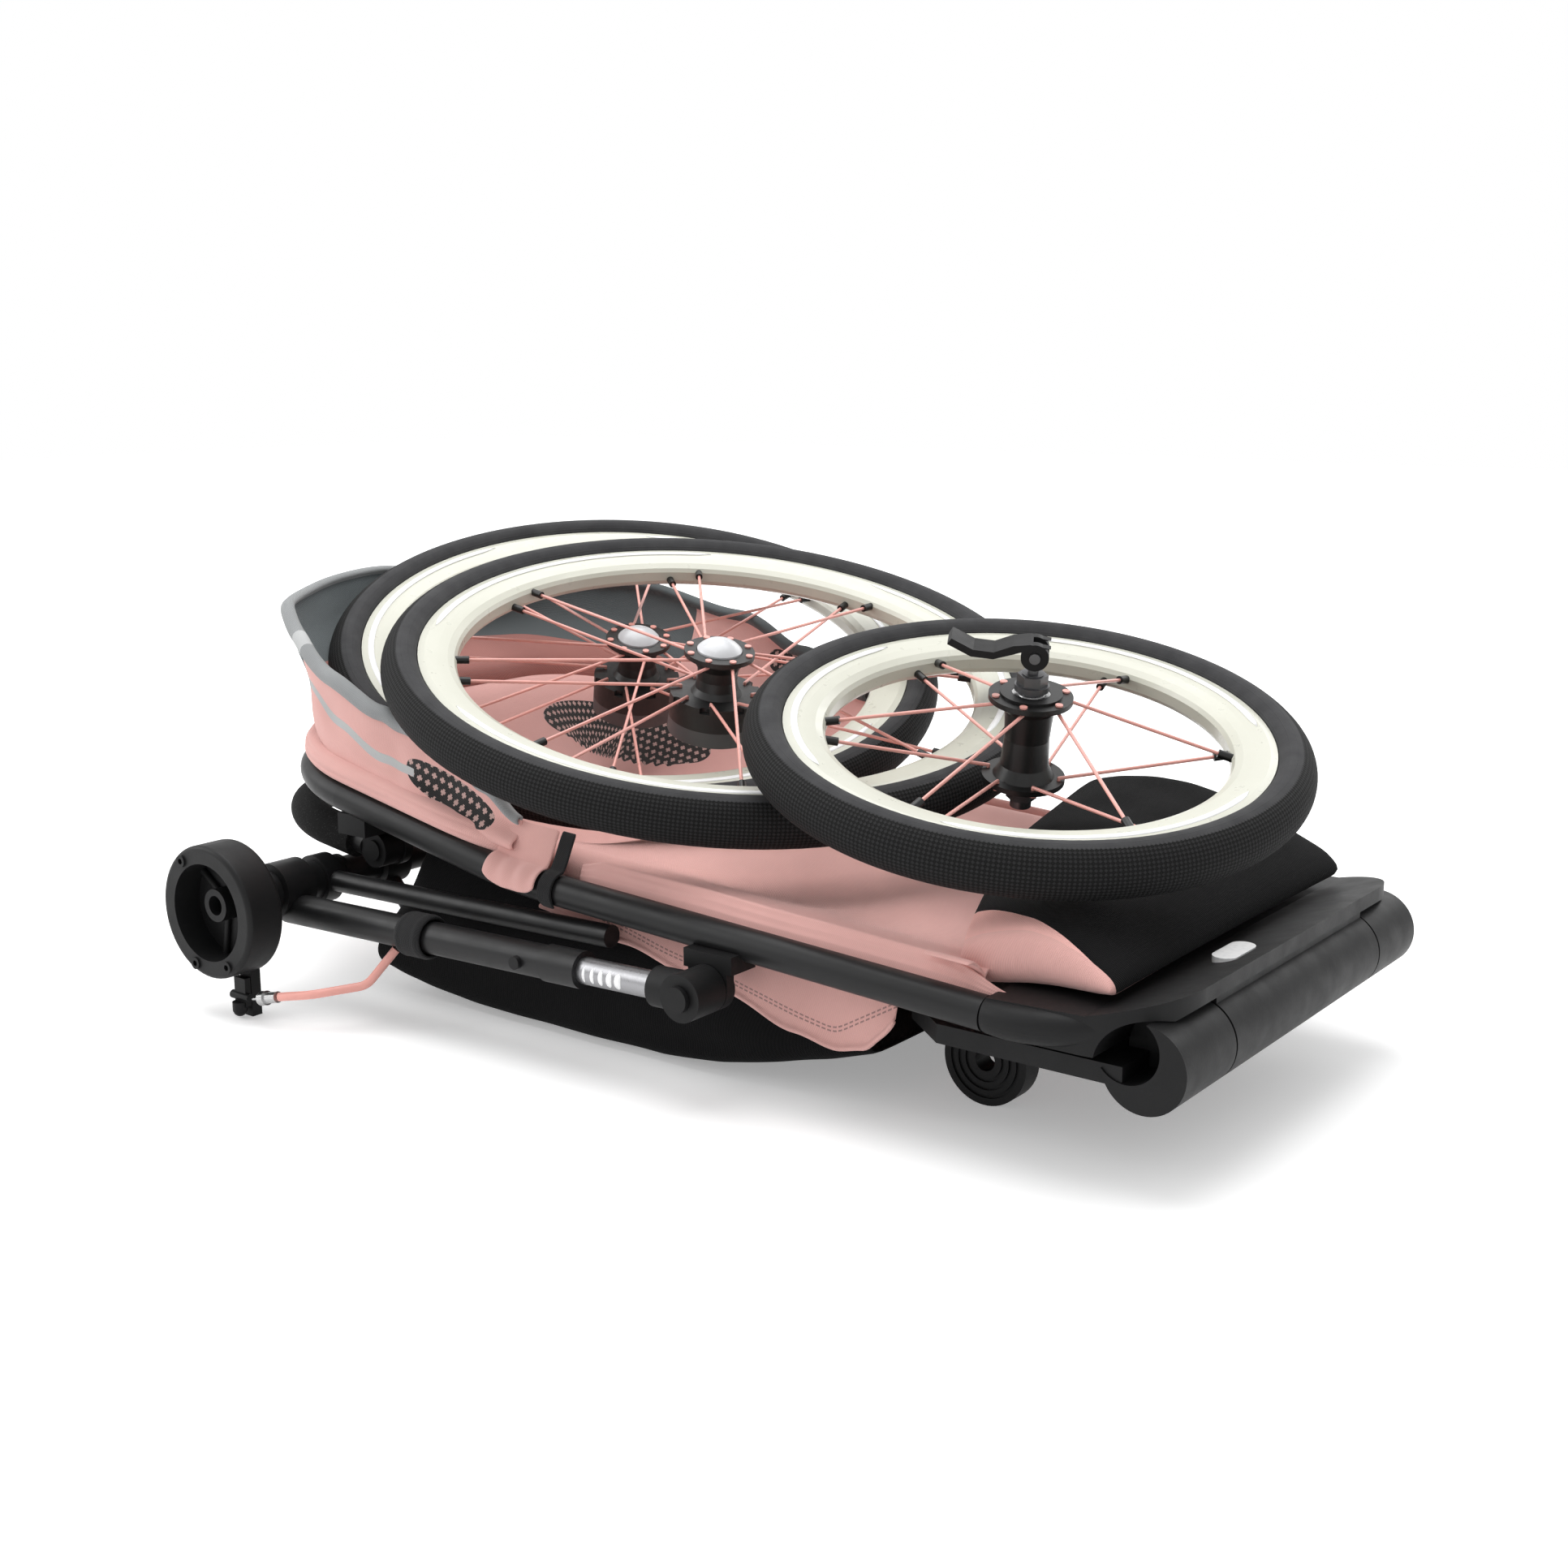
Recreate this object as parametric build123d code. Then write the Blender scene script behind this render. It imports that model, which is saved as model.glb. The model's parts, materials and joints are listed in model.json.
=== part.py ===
from build123d import *
import math
import os

os.makedirs("parts", exist_ok=True)

# Three-wheel stroller, folded flat with its wheels off and stacked on the seat.
# Millimetres. +X points to the footrest, +Y to the left side, +Z up, floor at Z = 0.

# Clearances
run_gap = 0.05
seat_gap = 0.3
seam_gap = 1.5

# Wheel pin, shared by the hubs, the brake housings and the fork
pin_r = 5.95

# Seat frame tube
tube_r = 9.0
tube_wall = 1.5
half_width = 152.0
seam_x = 222.0
seam_z = 79.5
kink_x = -90.0
front_slope = 0.0545
head_slope = 0.2
head_x = -308.0
kink_z = seam_z + (seam_x - kink_x) * front_slope
head_z = kink_z + (kink_x - head_x) * head_slope
head_corner_r = 75.0
kink_r = 420.0

# Footrest and fork hinge
footrest_front_x = 316.0
footrest_half = half_width + 3
hinge_x = 303.0
hinge_z = 67.0
roll_r = 22.0
roll_half = 147.0
centre_half = 92.0
hinge_rod_r = 3.0
curl_in = 118.0
curl_r = 17.0

# Fork
arm_low = 56.0
arm_high = 66.0
dropout_x = 179.0
dropout_z = 25.0
dropout_r = 25.0
dropout_in = 66.0
dropout_out = 80.0
dropout_bore_r = pin_r + run_gap

# Rear axle and legs
axle_x = -262.0
axle_z = 69.0
axle_r = 10.0
axle_sleeve_r = 12.5
strut_y = 179.0
strut_r = 9.5
strut_bore_r = 7.6
inner_tube_r = 7.5
knuckle_x = 62.0
knuckle_z = 65.0
knuckle_r = 13.0
strut_slope = 0.0253
strut_end_x = -14.0
suspension_travel = 10.0
fold_pin_r = 4.0
carrier_y = 150.0
carrier_r = 6.5

# Brake housing
housing_r = 40.5
housing_z = 66.0
housing_face = 238.0
housing_back = 213.0
housing_floor = 7.0
cavity_r = 29.6
axle_bore_r = pin_r + run_gap

# Handlebar
joint_x = -222.0
joint_y = 135.0
joint_z = 91.0
joint_r = 11.0
bar_r = 8.0
bar_end_x = -327.0
bar_end_z = 106.0
bar_corner_r = 60.0
grip_r = 11.5

# Wheels: radius of the rim edge, then what differs between front and rear
rear_edge_r = 183.0
front_edge_r = 133.0
tyre_height = 23.0
tyre_half = 15.5
rim_half = 10.0
rim_depth = 22.5
bearing_in_r = pin_r + run_gap
bearing_out_r = 10.5
bearing_width = 5.0
spoke_r = 1.0
nipple_r = 2.4
spoke_twist = 20.0
nipple_step = 7.0

# Place of each stacked wheel: middle of its rim, its upward axis and its turn
wheel_places = {
    "rear_wheel_lower": ((-194.9, 76.1, 185.8), (0.262, -0.21, 0.942), 37.0),
    "rear_wheel_upper": ((-76.8, 16.1, 194.7), (0.227, -0.152, 0.962), 0.0),
    "front_wheel": ((155.2, -3.5, 180.5), (0.176, -0.178, 0.968), 30.0),
}


def wheel_location(name):
    """Location that takes a wheel drawn about Z to its place in the stack."""
    centre, axis, turn = wheel_places[name]
    flat = Plane(origin=centre, x_dir=(1, 0, -axis[0] / axis[2]), z_dir=axis)
    return flat.location * Rot(0, 0, turn)


def frame_height(x):
    """Height of the frame tube's centre line at x."""
    if x > kink_x:
        return seam_z + (seam_x - x) * front_slope
    return kink_z + (kink_x - x) * head_slope


def strut_height(x):
    """Height of the strut's centre line at x."""
    return knuckle_z + (x - knuckle_x) * strut_slope


def rod(start, end, radius):
    """Round bar between two points."""
    start = Vector(*start)
    along = Vector(*end) - start
    return extrude(Plane(origin=start, z_dir=along) * Circle(radius), along.length)


def pipe(points, radii, outer, inner=0.0):
    """Bar or tube bent along points with the given corner radii."""
    path = FilletPolyline(*points, radius=radii)
    start = Plane(origin=path @ 0, z_dir=path % 0)
    solid = sweep(start * Circle(outer), path=path)
    if inner > 0:
        solid -= sweep(start * Circle(inner), path=path)
    return solid


def block(x0, x1, y0, y1, z0, z1):
    """Box from its limits on each axis."""
    size = Box(abs(x1 - x0), abs(y1 - y0), abs(z1 - z0))
    return Pos((x0 + x1) / 2, (y0 + y1) / 2, (z0 + z1) / 2) * size


def cross_bar(x, z, y0, y1, radius):
    """Round bar along Y."""
    return rod((x, min(y0, y1), z), (x, max(y0, y1), z), radius)


def side_plate(points, y0, y1):
    """Plate with its outline drawn in X and Z, between two Y values."""
    face = Plane.XZ * make_face(Polyline(*points, close=True))
    return Pos(0, max(y0, y1), 0) * extrude(face, abs(y1 - y0))


def plan_plate(points, z0, z1):
    """Plate with its outline drawn in X and Y, between two heights."""
    return Pos(0, 0, z0) * extrude(make_face(Polyline(*points, close=True)), z1 - z0)


def turned(points):
    """Solid turned about Z from an outline of (radius, height) points."""
    return revolve(Plane.XZ * make_face(Polyline(*points, close=True)), axis=Axis.Z)


def both_sides(solid):
    """The given solid and its mirror image across the centre plane."""
    return [solid, mirror(solid, about=Plane.XZ)]


nodes = {}


def keep(name, solids):
    """Store one node made of one or more solids."""
    if not isinstance(solids, list):
        solids = [solids]
    flat = [solid for shape in solids for solid in shape.solids()]
    nodes[name] = flat


# Frame tube: one bent tube from the right seam round the head to the left seam
frame_points = [
    (seam_x, -half_width, seam_z),
    (kink_x, -half_width, kink_z),
    (head_x, -half_width, head_z),
    (head_x, half_width, head_z),
    (kink_x, half_width, kink_z),
    (seam_x, half_width, seam_z),
]
frame_radii = [kink_r, head_corner_r, head_corner_r, kink_r]
keep("frame_tube", pipe(frame_points, frame_radii, tube_r, tube_r - tube_wall))
tube_zone = pipe(frame_points, frame_radii, tube_r + seat_gap)

# Footrest moulding with spigots into the tube and the middle knuckle of the fork hinge
plate_x = seam_x + 1.0
footrest_side = [
    (plate_x, seam_z - tube_r),
    (282, seam_z - tube_r),
    (312, 89),
    (footrest_front_x, 92),
    (footrest_front_x, 100),
    (276, 90),
    (plate_x, seam_z + tube_r),
]
footrest = side_plate(footrest_side, -footrest_half, footrest_half)
plan = Pos((plate_x + footrest_front_x) / 2, 0) * Rectangle(footrest_front_x - plate_x, 2 * footrest_half)
front_corners = plan.vertices().sort_by(Axis.X)[2:]
footrest &= extrude(fillet(front_corners, 44), 200)
rail = loft([
    Plane(origin=(plate_x, -half_width, seam_z), z_dir=(1, 0, 0)) * Circle(tube_r),
    Plane(origin=(258, -half_width, seam_z + 0.5), z_dir=(1, 0, 0.05)) * Circle(tube_r),
    Plane(origin=(290, -half_width + 11, seam_z + 5), z_dir=(0.75, 0.6, 0.25)) * Circle(tube_r - 2),
    Plane(origin=(306, -half_width + 36, seam_z + 12), z_dir=(0.35, 0.9, 0.1)) * Circle(tube_r - 4),
])
for half in both_sides(rail):
    footrest += half
footrest -= block(232, 274, -140, 140, 60, 84)
for rib_y in (-70, 0, 70):
    footrest += block(232, 274, rib_y - 2, rib_y + 2, 71, 86)
footrest -= cross_bar(hinge_x, hinge_z, -footrest_half, footrest_half, roll_r + 0.6)
footrest += cross_bar(hinge_x, hinge_z, -centre_half, centre_half, roll_r)
footrest += block(290, 313, -centre_half, centre_half, hinge_z, 93)
footrest -= cross_bar(hinge_x, hinge_z, -200, 200, hinge_rod_r + run_gap)
spigot_r = tube_r - tube_wall - seat_gap
for side in (-1, 1):
    inside_x = seam_x - 28
    spigot_end = (inside_x, side * half_width, frame_height(inside_x))
    footrest += rod((plate_x + 6, side * half_width, seam_z), spigot_end, spigot_r)
reflector_x = 298.0
reflector_y = -40.0
reflector_slot = Pos(reflector_x, reflector_y) * SlotOverall(34, 13, rotation=90)
recess = Pos(reflector_x, reflector_y) * SlotOverall(34 + 2 * seat_gap, 13 + 2 * seat_gap, rotation=90)
footrest -= Pos(0, 0, 93.2) * extrude(recess, 20)
keep("footrest", footrest)
keep("footrest_reflector", Pos(0, 0, 93.4) * extrude(reflector_slot, 4.4))
keep("fork_hinge_rod", cross_bar(hinge_x, hinge_z, -curl_in + 1, curl_in - 1, hinge_rod_r))

# Fork: two knuckles round the hinge rod, arms, a bridge and the dropout discs
fork = None
for side in (-1, 1):
    knuckle = cross_bar(hinge_x, hinge_z, side * (centre_half + seam_gap), side * roll_half, roll_r)
    knuckle -= cross_bar(hinge_x - 9, hinge_z + 8, side * curl_in, side * (roll_half + 1), curl_r)
    arm_points = [
        (292, side * 146),
        (190, side * 146),
        (160, side * 122),
        (160, side * dropout_in),
        (206, side * dropout_in),
        (225, side * 84),
        (292, side * 97),
    ]
    arm = plan_plate(arm_points, arm_low, arm_high)
    neck = block(163, 203, side * dropout_in, side * dropout_out, dropout_z + 8, arm_high)
    disc = cross_bar(dropout_x, dropout_z, side * dropout_in, side * dropout_out, dropout_r)
    for ridge_r in (21, 16.5, 12):
        groove_in = side * (dropout_out - 1.2)
        groove_out = side * (dropout_out + 1)
        ring = cross_bar(dropout_x, dropout_z, groove_in, groove_out, ridge_r)
        ring -= cross_bar(dropout_x, dropout_z, groove_in, groove_out, ridge_r - 2)
        disc -= ring
    half = knuckle + arm + neck + disc
    fork = half if fork is None else fork + half
fork += block(226, 262, -98, 98, arm_low, arm_high)
fork -= cross_bar(hinge_x, hinge_z, -200, 200, hinge_rod_r + run_gap)
fork -= cross_bar(dropout_x, dropout_z, -120, 120, dropout_bore_r)
keep("front_fork", fork)

# Brackets on the frame tube for the fold pins and for the handlebar joints
lug_out = strut_y - 11.5
bracket_z = frame_height(knuckle_x)
saddle_y = -half_width + 5
fold_bracket = block(knuckle_x - 16, knuckle_x + 16, -lug_out, saddle_y, bracket_z - 14, bracket_z - 4)
fold_bracket += cross_bar(knuckle_x, knuckle_z, -lug_out, -lug_out + 7, knuckle_r)
fold_bracket += block(knuckle_x - 13, knuckle_x + 13, -lug_out, -lug_out + 6, knuckle_z, bracket_z - 10)
saddle_start = (knuckle_x - 40, -half_width, frame_height(knuckle_x - 40))
saddle_end = (knuckle_x + 40, -half_width, frame_height(knuckle_x + 40))
fold_bracket -= rod(saddle_start, saddle_end, tube_r + run_gap)
fold_bracket -= cross_bar(knuckle_x, knuckle_z, -lug_out - 1, 0, fold_pin_r + run_gap)
keep("fold_brackets", both_sides(fold_bracket))

lug_y = joint_y - 8.6
saddle_z = frame_height(joint_x)
bar_bracket = block(joint_x - 14, joint_x + 10, -half_width - 5, -half_width + 8, saddle_z - 20, saddle_z - 7)
bar_bracket += block(joint_x - 14, joint_x + 10, -half_width, -lug_y + 6, saddle_z - 20, saddle_z - 15)
bar_bracket += block(joint_x - 12, joint_x + 10, -lug_y, -lug_y + 6, joint_z, saddle_z - 15)
bar_bracket += cross_bar(joint_x, joint_z, -lug_y, -lug_y + 6, 12)
saddle_start = (joint_x - 40, -half_width, frame_height(joint_x - 40))
saddle_end = (joint_x + 40, -half_width, frame_height(joint_x + 40))
bar_bracket -= rod(saddle_start, saddle_end, tube_r + run_gap)
bar_bracket -= cross_bar(joint_x, joint_z, -half_width, 0, fold_pin_r + run_gap)
keep("handlebar_brackets", both_sides(bar_bracket))

# Handlebar: bent tube, foam grip, and a joint disc with its pin on each side
bar_points = [
    (joint_x - 8, -joint_y, joint_z + 1),
    (bar_end_x, -joint_y, bar_end_z),
    (bar_end_x, joint_y, bar_end_z),
    (joint_x - 8, joint_y, joint_z + 1),
]
bar = pipe(bar_points, [bar_corner_r, bar_corner_r], bar_r, bar_r - 1.5)
disc_zone = cross_bar(joint_x, joint_z, -200, 200, joint_r + run_gap)
keep("handlebar_tube", bar - disc_zone)
bar_slope = (bar_end_z - joint_z - 1) / (joint_x - 8 - bar_end_x)
grip_x = joint_x - 20
grip_z = joint_z + 1 + bar_slope * 12
grip_points = [(grip_x, -joint_y, grip_z), bar_points[1], bar_points[2], (grip_x, joint_y, grip_z)]
keep("handlebar_grip", pipe(grip_points, [bar_corner_r, bar_corner_r], grip_r, bar_r + run_gap))
joint_disc = cross_bar(joint_x, joint_z, -joint_y - 7, -lug_y - 0.6, joint_r)
joint_disc += cross_bar(joint_x, joint_z, -joint_y - 8.5, -joint_y - 6, 6.5)
joint_disc += cross_bar(joint_x, joint_z, -lug_y - 1, -lug_y + 8, fold_pin_r)
keep("handlebar_joints", both_sides(joint_disc))

def strut_bar(x0, x1, radius):
    """Round bar along the right strut's centre line."""
    return rod((x0, -strut_y, strut_height(x0)), (x1, -strut_y, strut_height(x1)), radius)


# Rear legs that turn on the fold pins: knuckles, pins and the silver suspension tubes
pin = cross_bar(knuckle_x, knuckle_z, -strut_y - 12.5, -lug_out + 9, fold_pin_r)
pin += cross_bar(knuckle_x, knuckle_z, -strut_y - 15, -strut_y - 12, 7)
keep("fold_pins", both_sides(pin))
socket_x = knuckle_x - 24
slide_in = -38.0
slide_out = knuckle_x - 10.5
knuckle = cross_bar(knuckle_x, knuckle_z, -strut_y - 11.6, -strut_y + 10.9, knuckle_r)
knuckle += strut_bar(socket_x, knuckle_x, 11)
knuckle -= strut_bar(socket_x - 2, slide_out + 0.5, inner_tube_r + run_gap)
knuckle -= cross_bar(knuckle_x, knuckle_z, -260, -100, fold_pin_r + run_gap)
keep("leg_knuckles", both_sides(knuckle))
silver = strut_bar(slide_in, slide_out, inner_tube_r)
silver -= strut_bar(slide_in - 1, slide_out + 1, inner_tube_r - 1.6)
keep("suspension_tubes", both_sides(silver))

# Struts: a clamp round the axle, the outer tube and its end cap
strut_start = -248.0
bore_start = -190.0
strut = strut_bar(strut_start, strut_end_x, strut_r)
strut += cross_bar(axle_x, axle_z, -strut_y - 11, -strut_y + 11, 17)
strut += strut_bar(axle_x + 4, strut_start + 2, strut_r)
strut += strut_bar(strut_end_x - 26, strut_end_x, strut_r + 1)
strut -= cross_bar(axle_x, axle_z, -260, -100, axle_sleeve_r + run_gap)
strut -= strut_bar(bore_start, strut_end_x + 20, strut_bore_r)
button_x = -56.0
button_z = strut_height(button_x)
button_r = 3.7
strut -= cross_bar(button_x, button_z, -strut_y - 20, -strut_y - 4, button_r + run_gap)
keep("leg_struts", both_sides(strut))
button = cross_bar(button_x, button_z, -strut_y - strut_r - 2.5, -strut_y - strut_r + 1.2, button_r)
keep("strut_button_right", button)
keep("strut_button_left", mirror(button, about=Plane.XZ))
spring_r = 4.5
spring_end = slide_in - suspension_travel - 1
keep("suspension_elastomers", both_sides(strut_bar(spring_end - 55, spring_end, spring_r)))

# Axle tube with its thicker sleeves
axle_half = housing_back + 6
axle = cross_bar(axle_x, axle_z, -axle_half, axle_half, axle_r)
for side in (-1, 1):
    sleeve = cross_bar(axle_x, axle_z, side * 136, side * 202, axle_sleeve_r)
    for groove in (139, 143):
        cut = cross_bar(axle_x, axle_z, side * groove, side * (groove + 1.4), axle_sleeve_r + 1)
        cut -= cross_bar(axle_x, axle_z, side * groove, side * (groove + 1.4), axle_sleeve_r - 0.8)
        sleeve -= cut
    axle += sleeve
axle -= cross_bar(axle_x, axle_z, -axle_half - 1, axle_half + 1, axle_r - 2)
keep("axle_tube", axle)

# Carrier tubes beside the struts, clamped on the axle
carrier_end = -20.0
carrier = rod((axle_x + 8, -carrier_y, axle_z), (carrier_end, -carrier_y, 74), carrier_r)
carrier += cross_bar(axle_x, axle_z, -carrier_y - 7, -carrier_y + 5, 15.5)
carrier -= cross_bar(axle_x, axle_z, -200, -100, axle_sleeve_r + run_gap)
keep("carrier_tubes", both_sides(carrier))

# Brake housings: cup, boss for the wheel pin, ribs, screw bosses, cable stop that reaches the floor
housing = cross_bar(axle_x, housing_z, -housing_face, -housing_back, housing_r)
rim_edges = housing.edges().filter_by(GeomType.CIRCLE)
housing = fillet(rim_edges, 3)
floor_y = -housing_back - housing_floor
housing -= cross_bar(axle_x, housing_z, -housing_face - 1, floor_y, cavity_r)
housing += cross_bar(axle_x, axle_z, -housing_back - 1, -housing_back + 9, 14)
housing += cross_bar(axle_x, axle_z, -housing_face + 7, -housing_back, 10)
for angle in (20, 140, 260):
    far_x = axle_x + 30 * math.cos(math.radians(angle))
    far_z = housing_z + 30 * math.sin(math.radians(angle))
    housing += rod((axle_x, floor_y - 1, axle_z), (far_x, floor_y - 1, far_z), 2.2)
for angle in (125, 250, 300):
    boss_x = axle_x + 35 * math.cos(math.radians(angle))
    boss_z = housing_z + 35 * math.sin(math.radians(angle))
    housing += cross_bar(boss_x, boss_z, -housing_face - 1.2, -housing_face + 6, 3.6)
    housing -= cross_bar(boss_x, boss_z, -housing_face - 2, -housing_face + 1, 1.8)
stop_x = axle_x + 10
housing += block(stop_x - 5, stop_x + 5, -housing_back - 7, -housing_back, 0, 34)
arm_x = axle_x + 3
arm_pivot_z = 20.0
housing -= cross_bar(arm_x + 7, arm_pivot_z, -housing_face, -housing_back + 1, 3.0 + run_gap)
housing -= cross_bar(axle_x, axle_z, floor_y, -housing_back + 10, axle_r + run_gap)
housing -= cross_bar(axle_x, axle_z, -housing_face, -housing_back, axle_bore_r)
keep("brake_housings", both_sides(housing))

# Brake arms: plate on a pivot pin, with the cable clamp and its domed nut
pivot_x = arm_x + 7
arm_face = housing_back + 7.6
arm_plate = block(pivot_x - 5, pivot_x + 5, -arm_face - 4, -arm_face, 7, 24.5)
arm_plate += cross_bar(pivot_x, arm_pivot_z, -arm_face - 4, -housing_back - 0.6, 3.0)
arm_plate += rod((pivot_x, -arm_face - 4.6, 10), (pivot_x, -arm_face - 4.6, 4.5), 4.4)
arm_plate += Pos(pivot_x, -arm_face - 4.6, 5) * Sphere(4.2)
arm_plate += rod((pivot_x - 8, -arm_face - 3, 13), (pivot_x + 8, -arm_face - 3, 13), 2.6)
keep("brake_arm_right", arm_plate)
keep("brake_arm_left", mirror(arm_plate, about=Plane.XZ))

# Cable adjusters with the bare wire, then the coloured cable sleeves up to the struts
wire_y = -arm_face - 3
adjuster = rod((pivot_x + 10.5, wire_y, 13), (pivot_x + 24, wire_y, 16.5), 0.8)
adjuster += rod((pivot_x + 19, wire_y, 15.2), (pivot_x + 24, wire_y, 16.5), 4.4)
adjuster += rod((pivot_x + 24, wire_y, 16.5), (pivot_x + 34, wire_y, 19), 3.4)
keep("cable_adjusters", both_sides(adjuster))
sleeve_points = [
    (pivot_x + 35.3, wire_y, 19.4),
    (pivot_x + 56, wire_y + 6, 23),
    (pivot_x + 78, wire_y + 30, 27),
    (pivot_x + 88, -strut_y, strut_height(pivot_x + 88) - strut_r - 2.6),
]
cable_r = 2.6
keep("brake_cables", both_sides(pipe(sleeve_points, [22, 12], cable_r)))

# Parking pedal hung on the axle
pedal = cross_bar(axle_x, axle_z, -108, -88, 14.5)
pedal += rod((axle_x + 4, -98, axle_z - 8), (axle_x + 26, -98, 36), 5)
pedal += block(axle_x + 16, axle_x + 46, -116, -80, 31, 38)
pedal -= cross_bar(axle_x, axle_z, -200, 0, axle_r + run_gap)
keep("parking_pedal", pedal)

# Seat cover: a hammock between the tubes with a rolled bolster on each side
cover_half = half_width - tube_r - 3
cover_side = [
    (seam_x - 8, frame_height(seam_x - 8) - 4),
    (kink_x, kink_z - 4),
    (head_x + 14, frame_height(head_x + 14) - 4),
    (head_x + 14, frame_height(head_x + 14) - 12),
    (kink_x, kink_z - 12),
    (seam_x - 8, frame_height(seam_x - 8) - 12),
]
cover = side_plate(cover_side, -cover_half, cover_half)
cover_length = seam_x - 8 - (head_x + 12)
cover_plan = Pos(seam_x - 8 - cover_length / 2, 0) * Rectangle(cover_length, 2 * cover_half)
head_corners = cover_plan.vertices().sort_by(Axis.X)[:2]
cover &= extrude(fillet(head_corners, head_corner_r - tube_r - 1), 300)
bolster_r = 9.0
bolster_y = 117.0
bolster_points = [
    (120, -bolster_y, frame_height(120)),
    (kink_x, -bolster_y, kink_z),
    (-225, -bolster_y, frame_height(-225)),
]
bolster = pipe(bolster_points, [kink_r], bolster_r)
for half in both_sides(bolster):
    cover += half
keep("seat_cover", cover)

# Edge trims along the straight part of the tubes
trim_mid = 82.0
trim = Box(258, 9, 4)
trim = Rot(0, math.degrees(math.atan(front_slope)), 0) * trim
trim = Pos(trim_mid, -half_width + 10, frame_height(trim_mid) + tube_r + 1.2) * trim
keep("seat_edge_trims", both_sides(trim))

def pad_section(x, half, low, near, middle, far):
    """Cross section of the calf pad at x: flat below, with a crowned top."""
    base = Polyline((-half, near), (-half, low), (half, low), (half, far))
    crown = ThreePointArc((half, far), (0, middle), (-half, near))
    return Plane(origin=(x, 0, 0), x_dir=(0, 1, 0), z_dir=(1, 0, 0)) * make_face([base, crown])


# Calf rest pad: a cushion with a crown and drawn-in sides that rises to the left
pad_x0 = 128.0
pad_x1 = 282.0
pad_half = 135.0
pad_draw = 5.0
pad_third = (pad_x1 - pad_x0) / 3
pad_sections = [
    pad_section(pad_x0, pad_half, 84, 99, 113, 122),
    pad_section(pad_x0 + pad_third, pad_half - pad_draw, 87, 107, 124, 128),
    pad_section(pad_x0 + 2 * pad_third, pad_half - pad_draw, 92, 107, 121, 124),
    pad_section(pad_x1, pad_half, 94.5, 100, 109, 114),
]
keep("calf_rest_pad", loft(pad_sections))

# Flaps that hang under the seat along both tubes
flap_points = [
    (-84, frame_height(-84) - 13),
    (-84, 70),
    (125, 38.5),
    (146, 44),
    (162, 58),
    (162, frame_height(162) - 13),
]
flap_y = -cover_half + 7.5
flap_thick = 2.5
flap_folds = 6
fold_depth = 1.8
fold_pitch = (flap_points[5][0] - flap_points[0][0] + 2) / flap_folds


def fold_line(y):
    """Row of shallow folds along the flap, as arcs that swing to both sides of y."""
    arcs = []
    for index in range(flap_folds):
        x = flap_points[0][0] - 1 + index * fold_pitch
        swing = fold_depth if index % 2 else -fold_depth
        arcs.append(ThreePointArc((x, y), (x + fold_pitch / 2, y + swing), (x + fold_pitch, y)))
    return arcs


fold_x0 = flap_points[0][0] - 1
fold_x1 = flap_points[5][0] + 1
fold_ends = [
    Line((fold_x0, flap_y), (fold_x0, flap_y + flap_thick)),
    Line((fold_x1, flap_y), (fold_x1, flap_y + flap_thick)),
]
flap = extrude(make_face(fold_line(flap_y) + fold_line(flap_y + flap_thick) + fold_ends), 150)
flap &= side_plate(flap_points, flap_y - 10, flap_y + 12)
keep("seat_flaps", both_sides(flap))

# Storage basket: an open bag that hangs nearly to the floor
basket_half = 138.0
basket_wall = 2.5
basket_line = Spline((-212, 52), (-150, 17), (-50, 2.5), (40, 3), (108, 17), (138, 31))
basket_top = Polyline((138, 31), (138, 34), (-212, 58), (-212, 52))
bag_face = Plane.XZ * make_face([basket_line, basket_top])
bag = Pos(0, basket_half, 0) * extrude(bag_face, 2 * basket_half)
inside_line = Spline((-209, 54), (-148, 20), (-50, 5.2), (40, 5.7), (107, 19.6), (135, 33))
inside_top = Polyline((135, 33), (135, 70), (-209, 70), (-209, 54))
inside_face = Plane.XZ * make_face([inside_line, inside_top])
bag -= Pos(0, basket_half - basket_wall, 0) * extrude(inside_face, 2 * (basket_half - basket_wall))
keep("storage_basket", bag)

# Straps: hood straps round the frame tubes, basket straps round the struts
strap_x = -62.0
strap_z = frame_height(strap_x)
strap = rod((strap_x, -half_width, strap_z), (strap_x + 9, -half_width, strap_z - 0.5), tube_r + 2)
strap += block(strap_x, strap_x + 9, -half_width + 4, -half_width + 6, strap_z + 7, strap_z + 34)
tab_x = -104.0
tab_end = tab_x + 38
tab_from = (tab_x, -half_width, frame_height(tab_x))
tab = rod(tab_from, (tab_end, -half_width, frame_height(tab_end)), tube_r + 2)
keep("hood_straps", both_sides(strap - tube_zone) + both_sides(tab - tube_zone))
collar_x = -152.0
collar = strut_bar(collar_x, collar_x + 20, strut_r + 2.4)
collar -= strut_bar(collar_x - 20, collar_x + 40, strut_r + seat_gap)
keep("basket_straps", both_sides(collar))


# Hood: a cloth wall round the head end, spread to the left by the wheel that lies in it
hood_low = kink_z + tube_r + 5.5
hood_high = 236.0
hood_end = -70.0
hood_wall = 4.0
hood_room = 4.0


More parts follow.
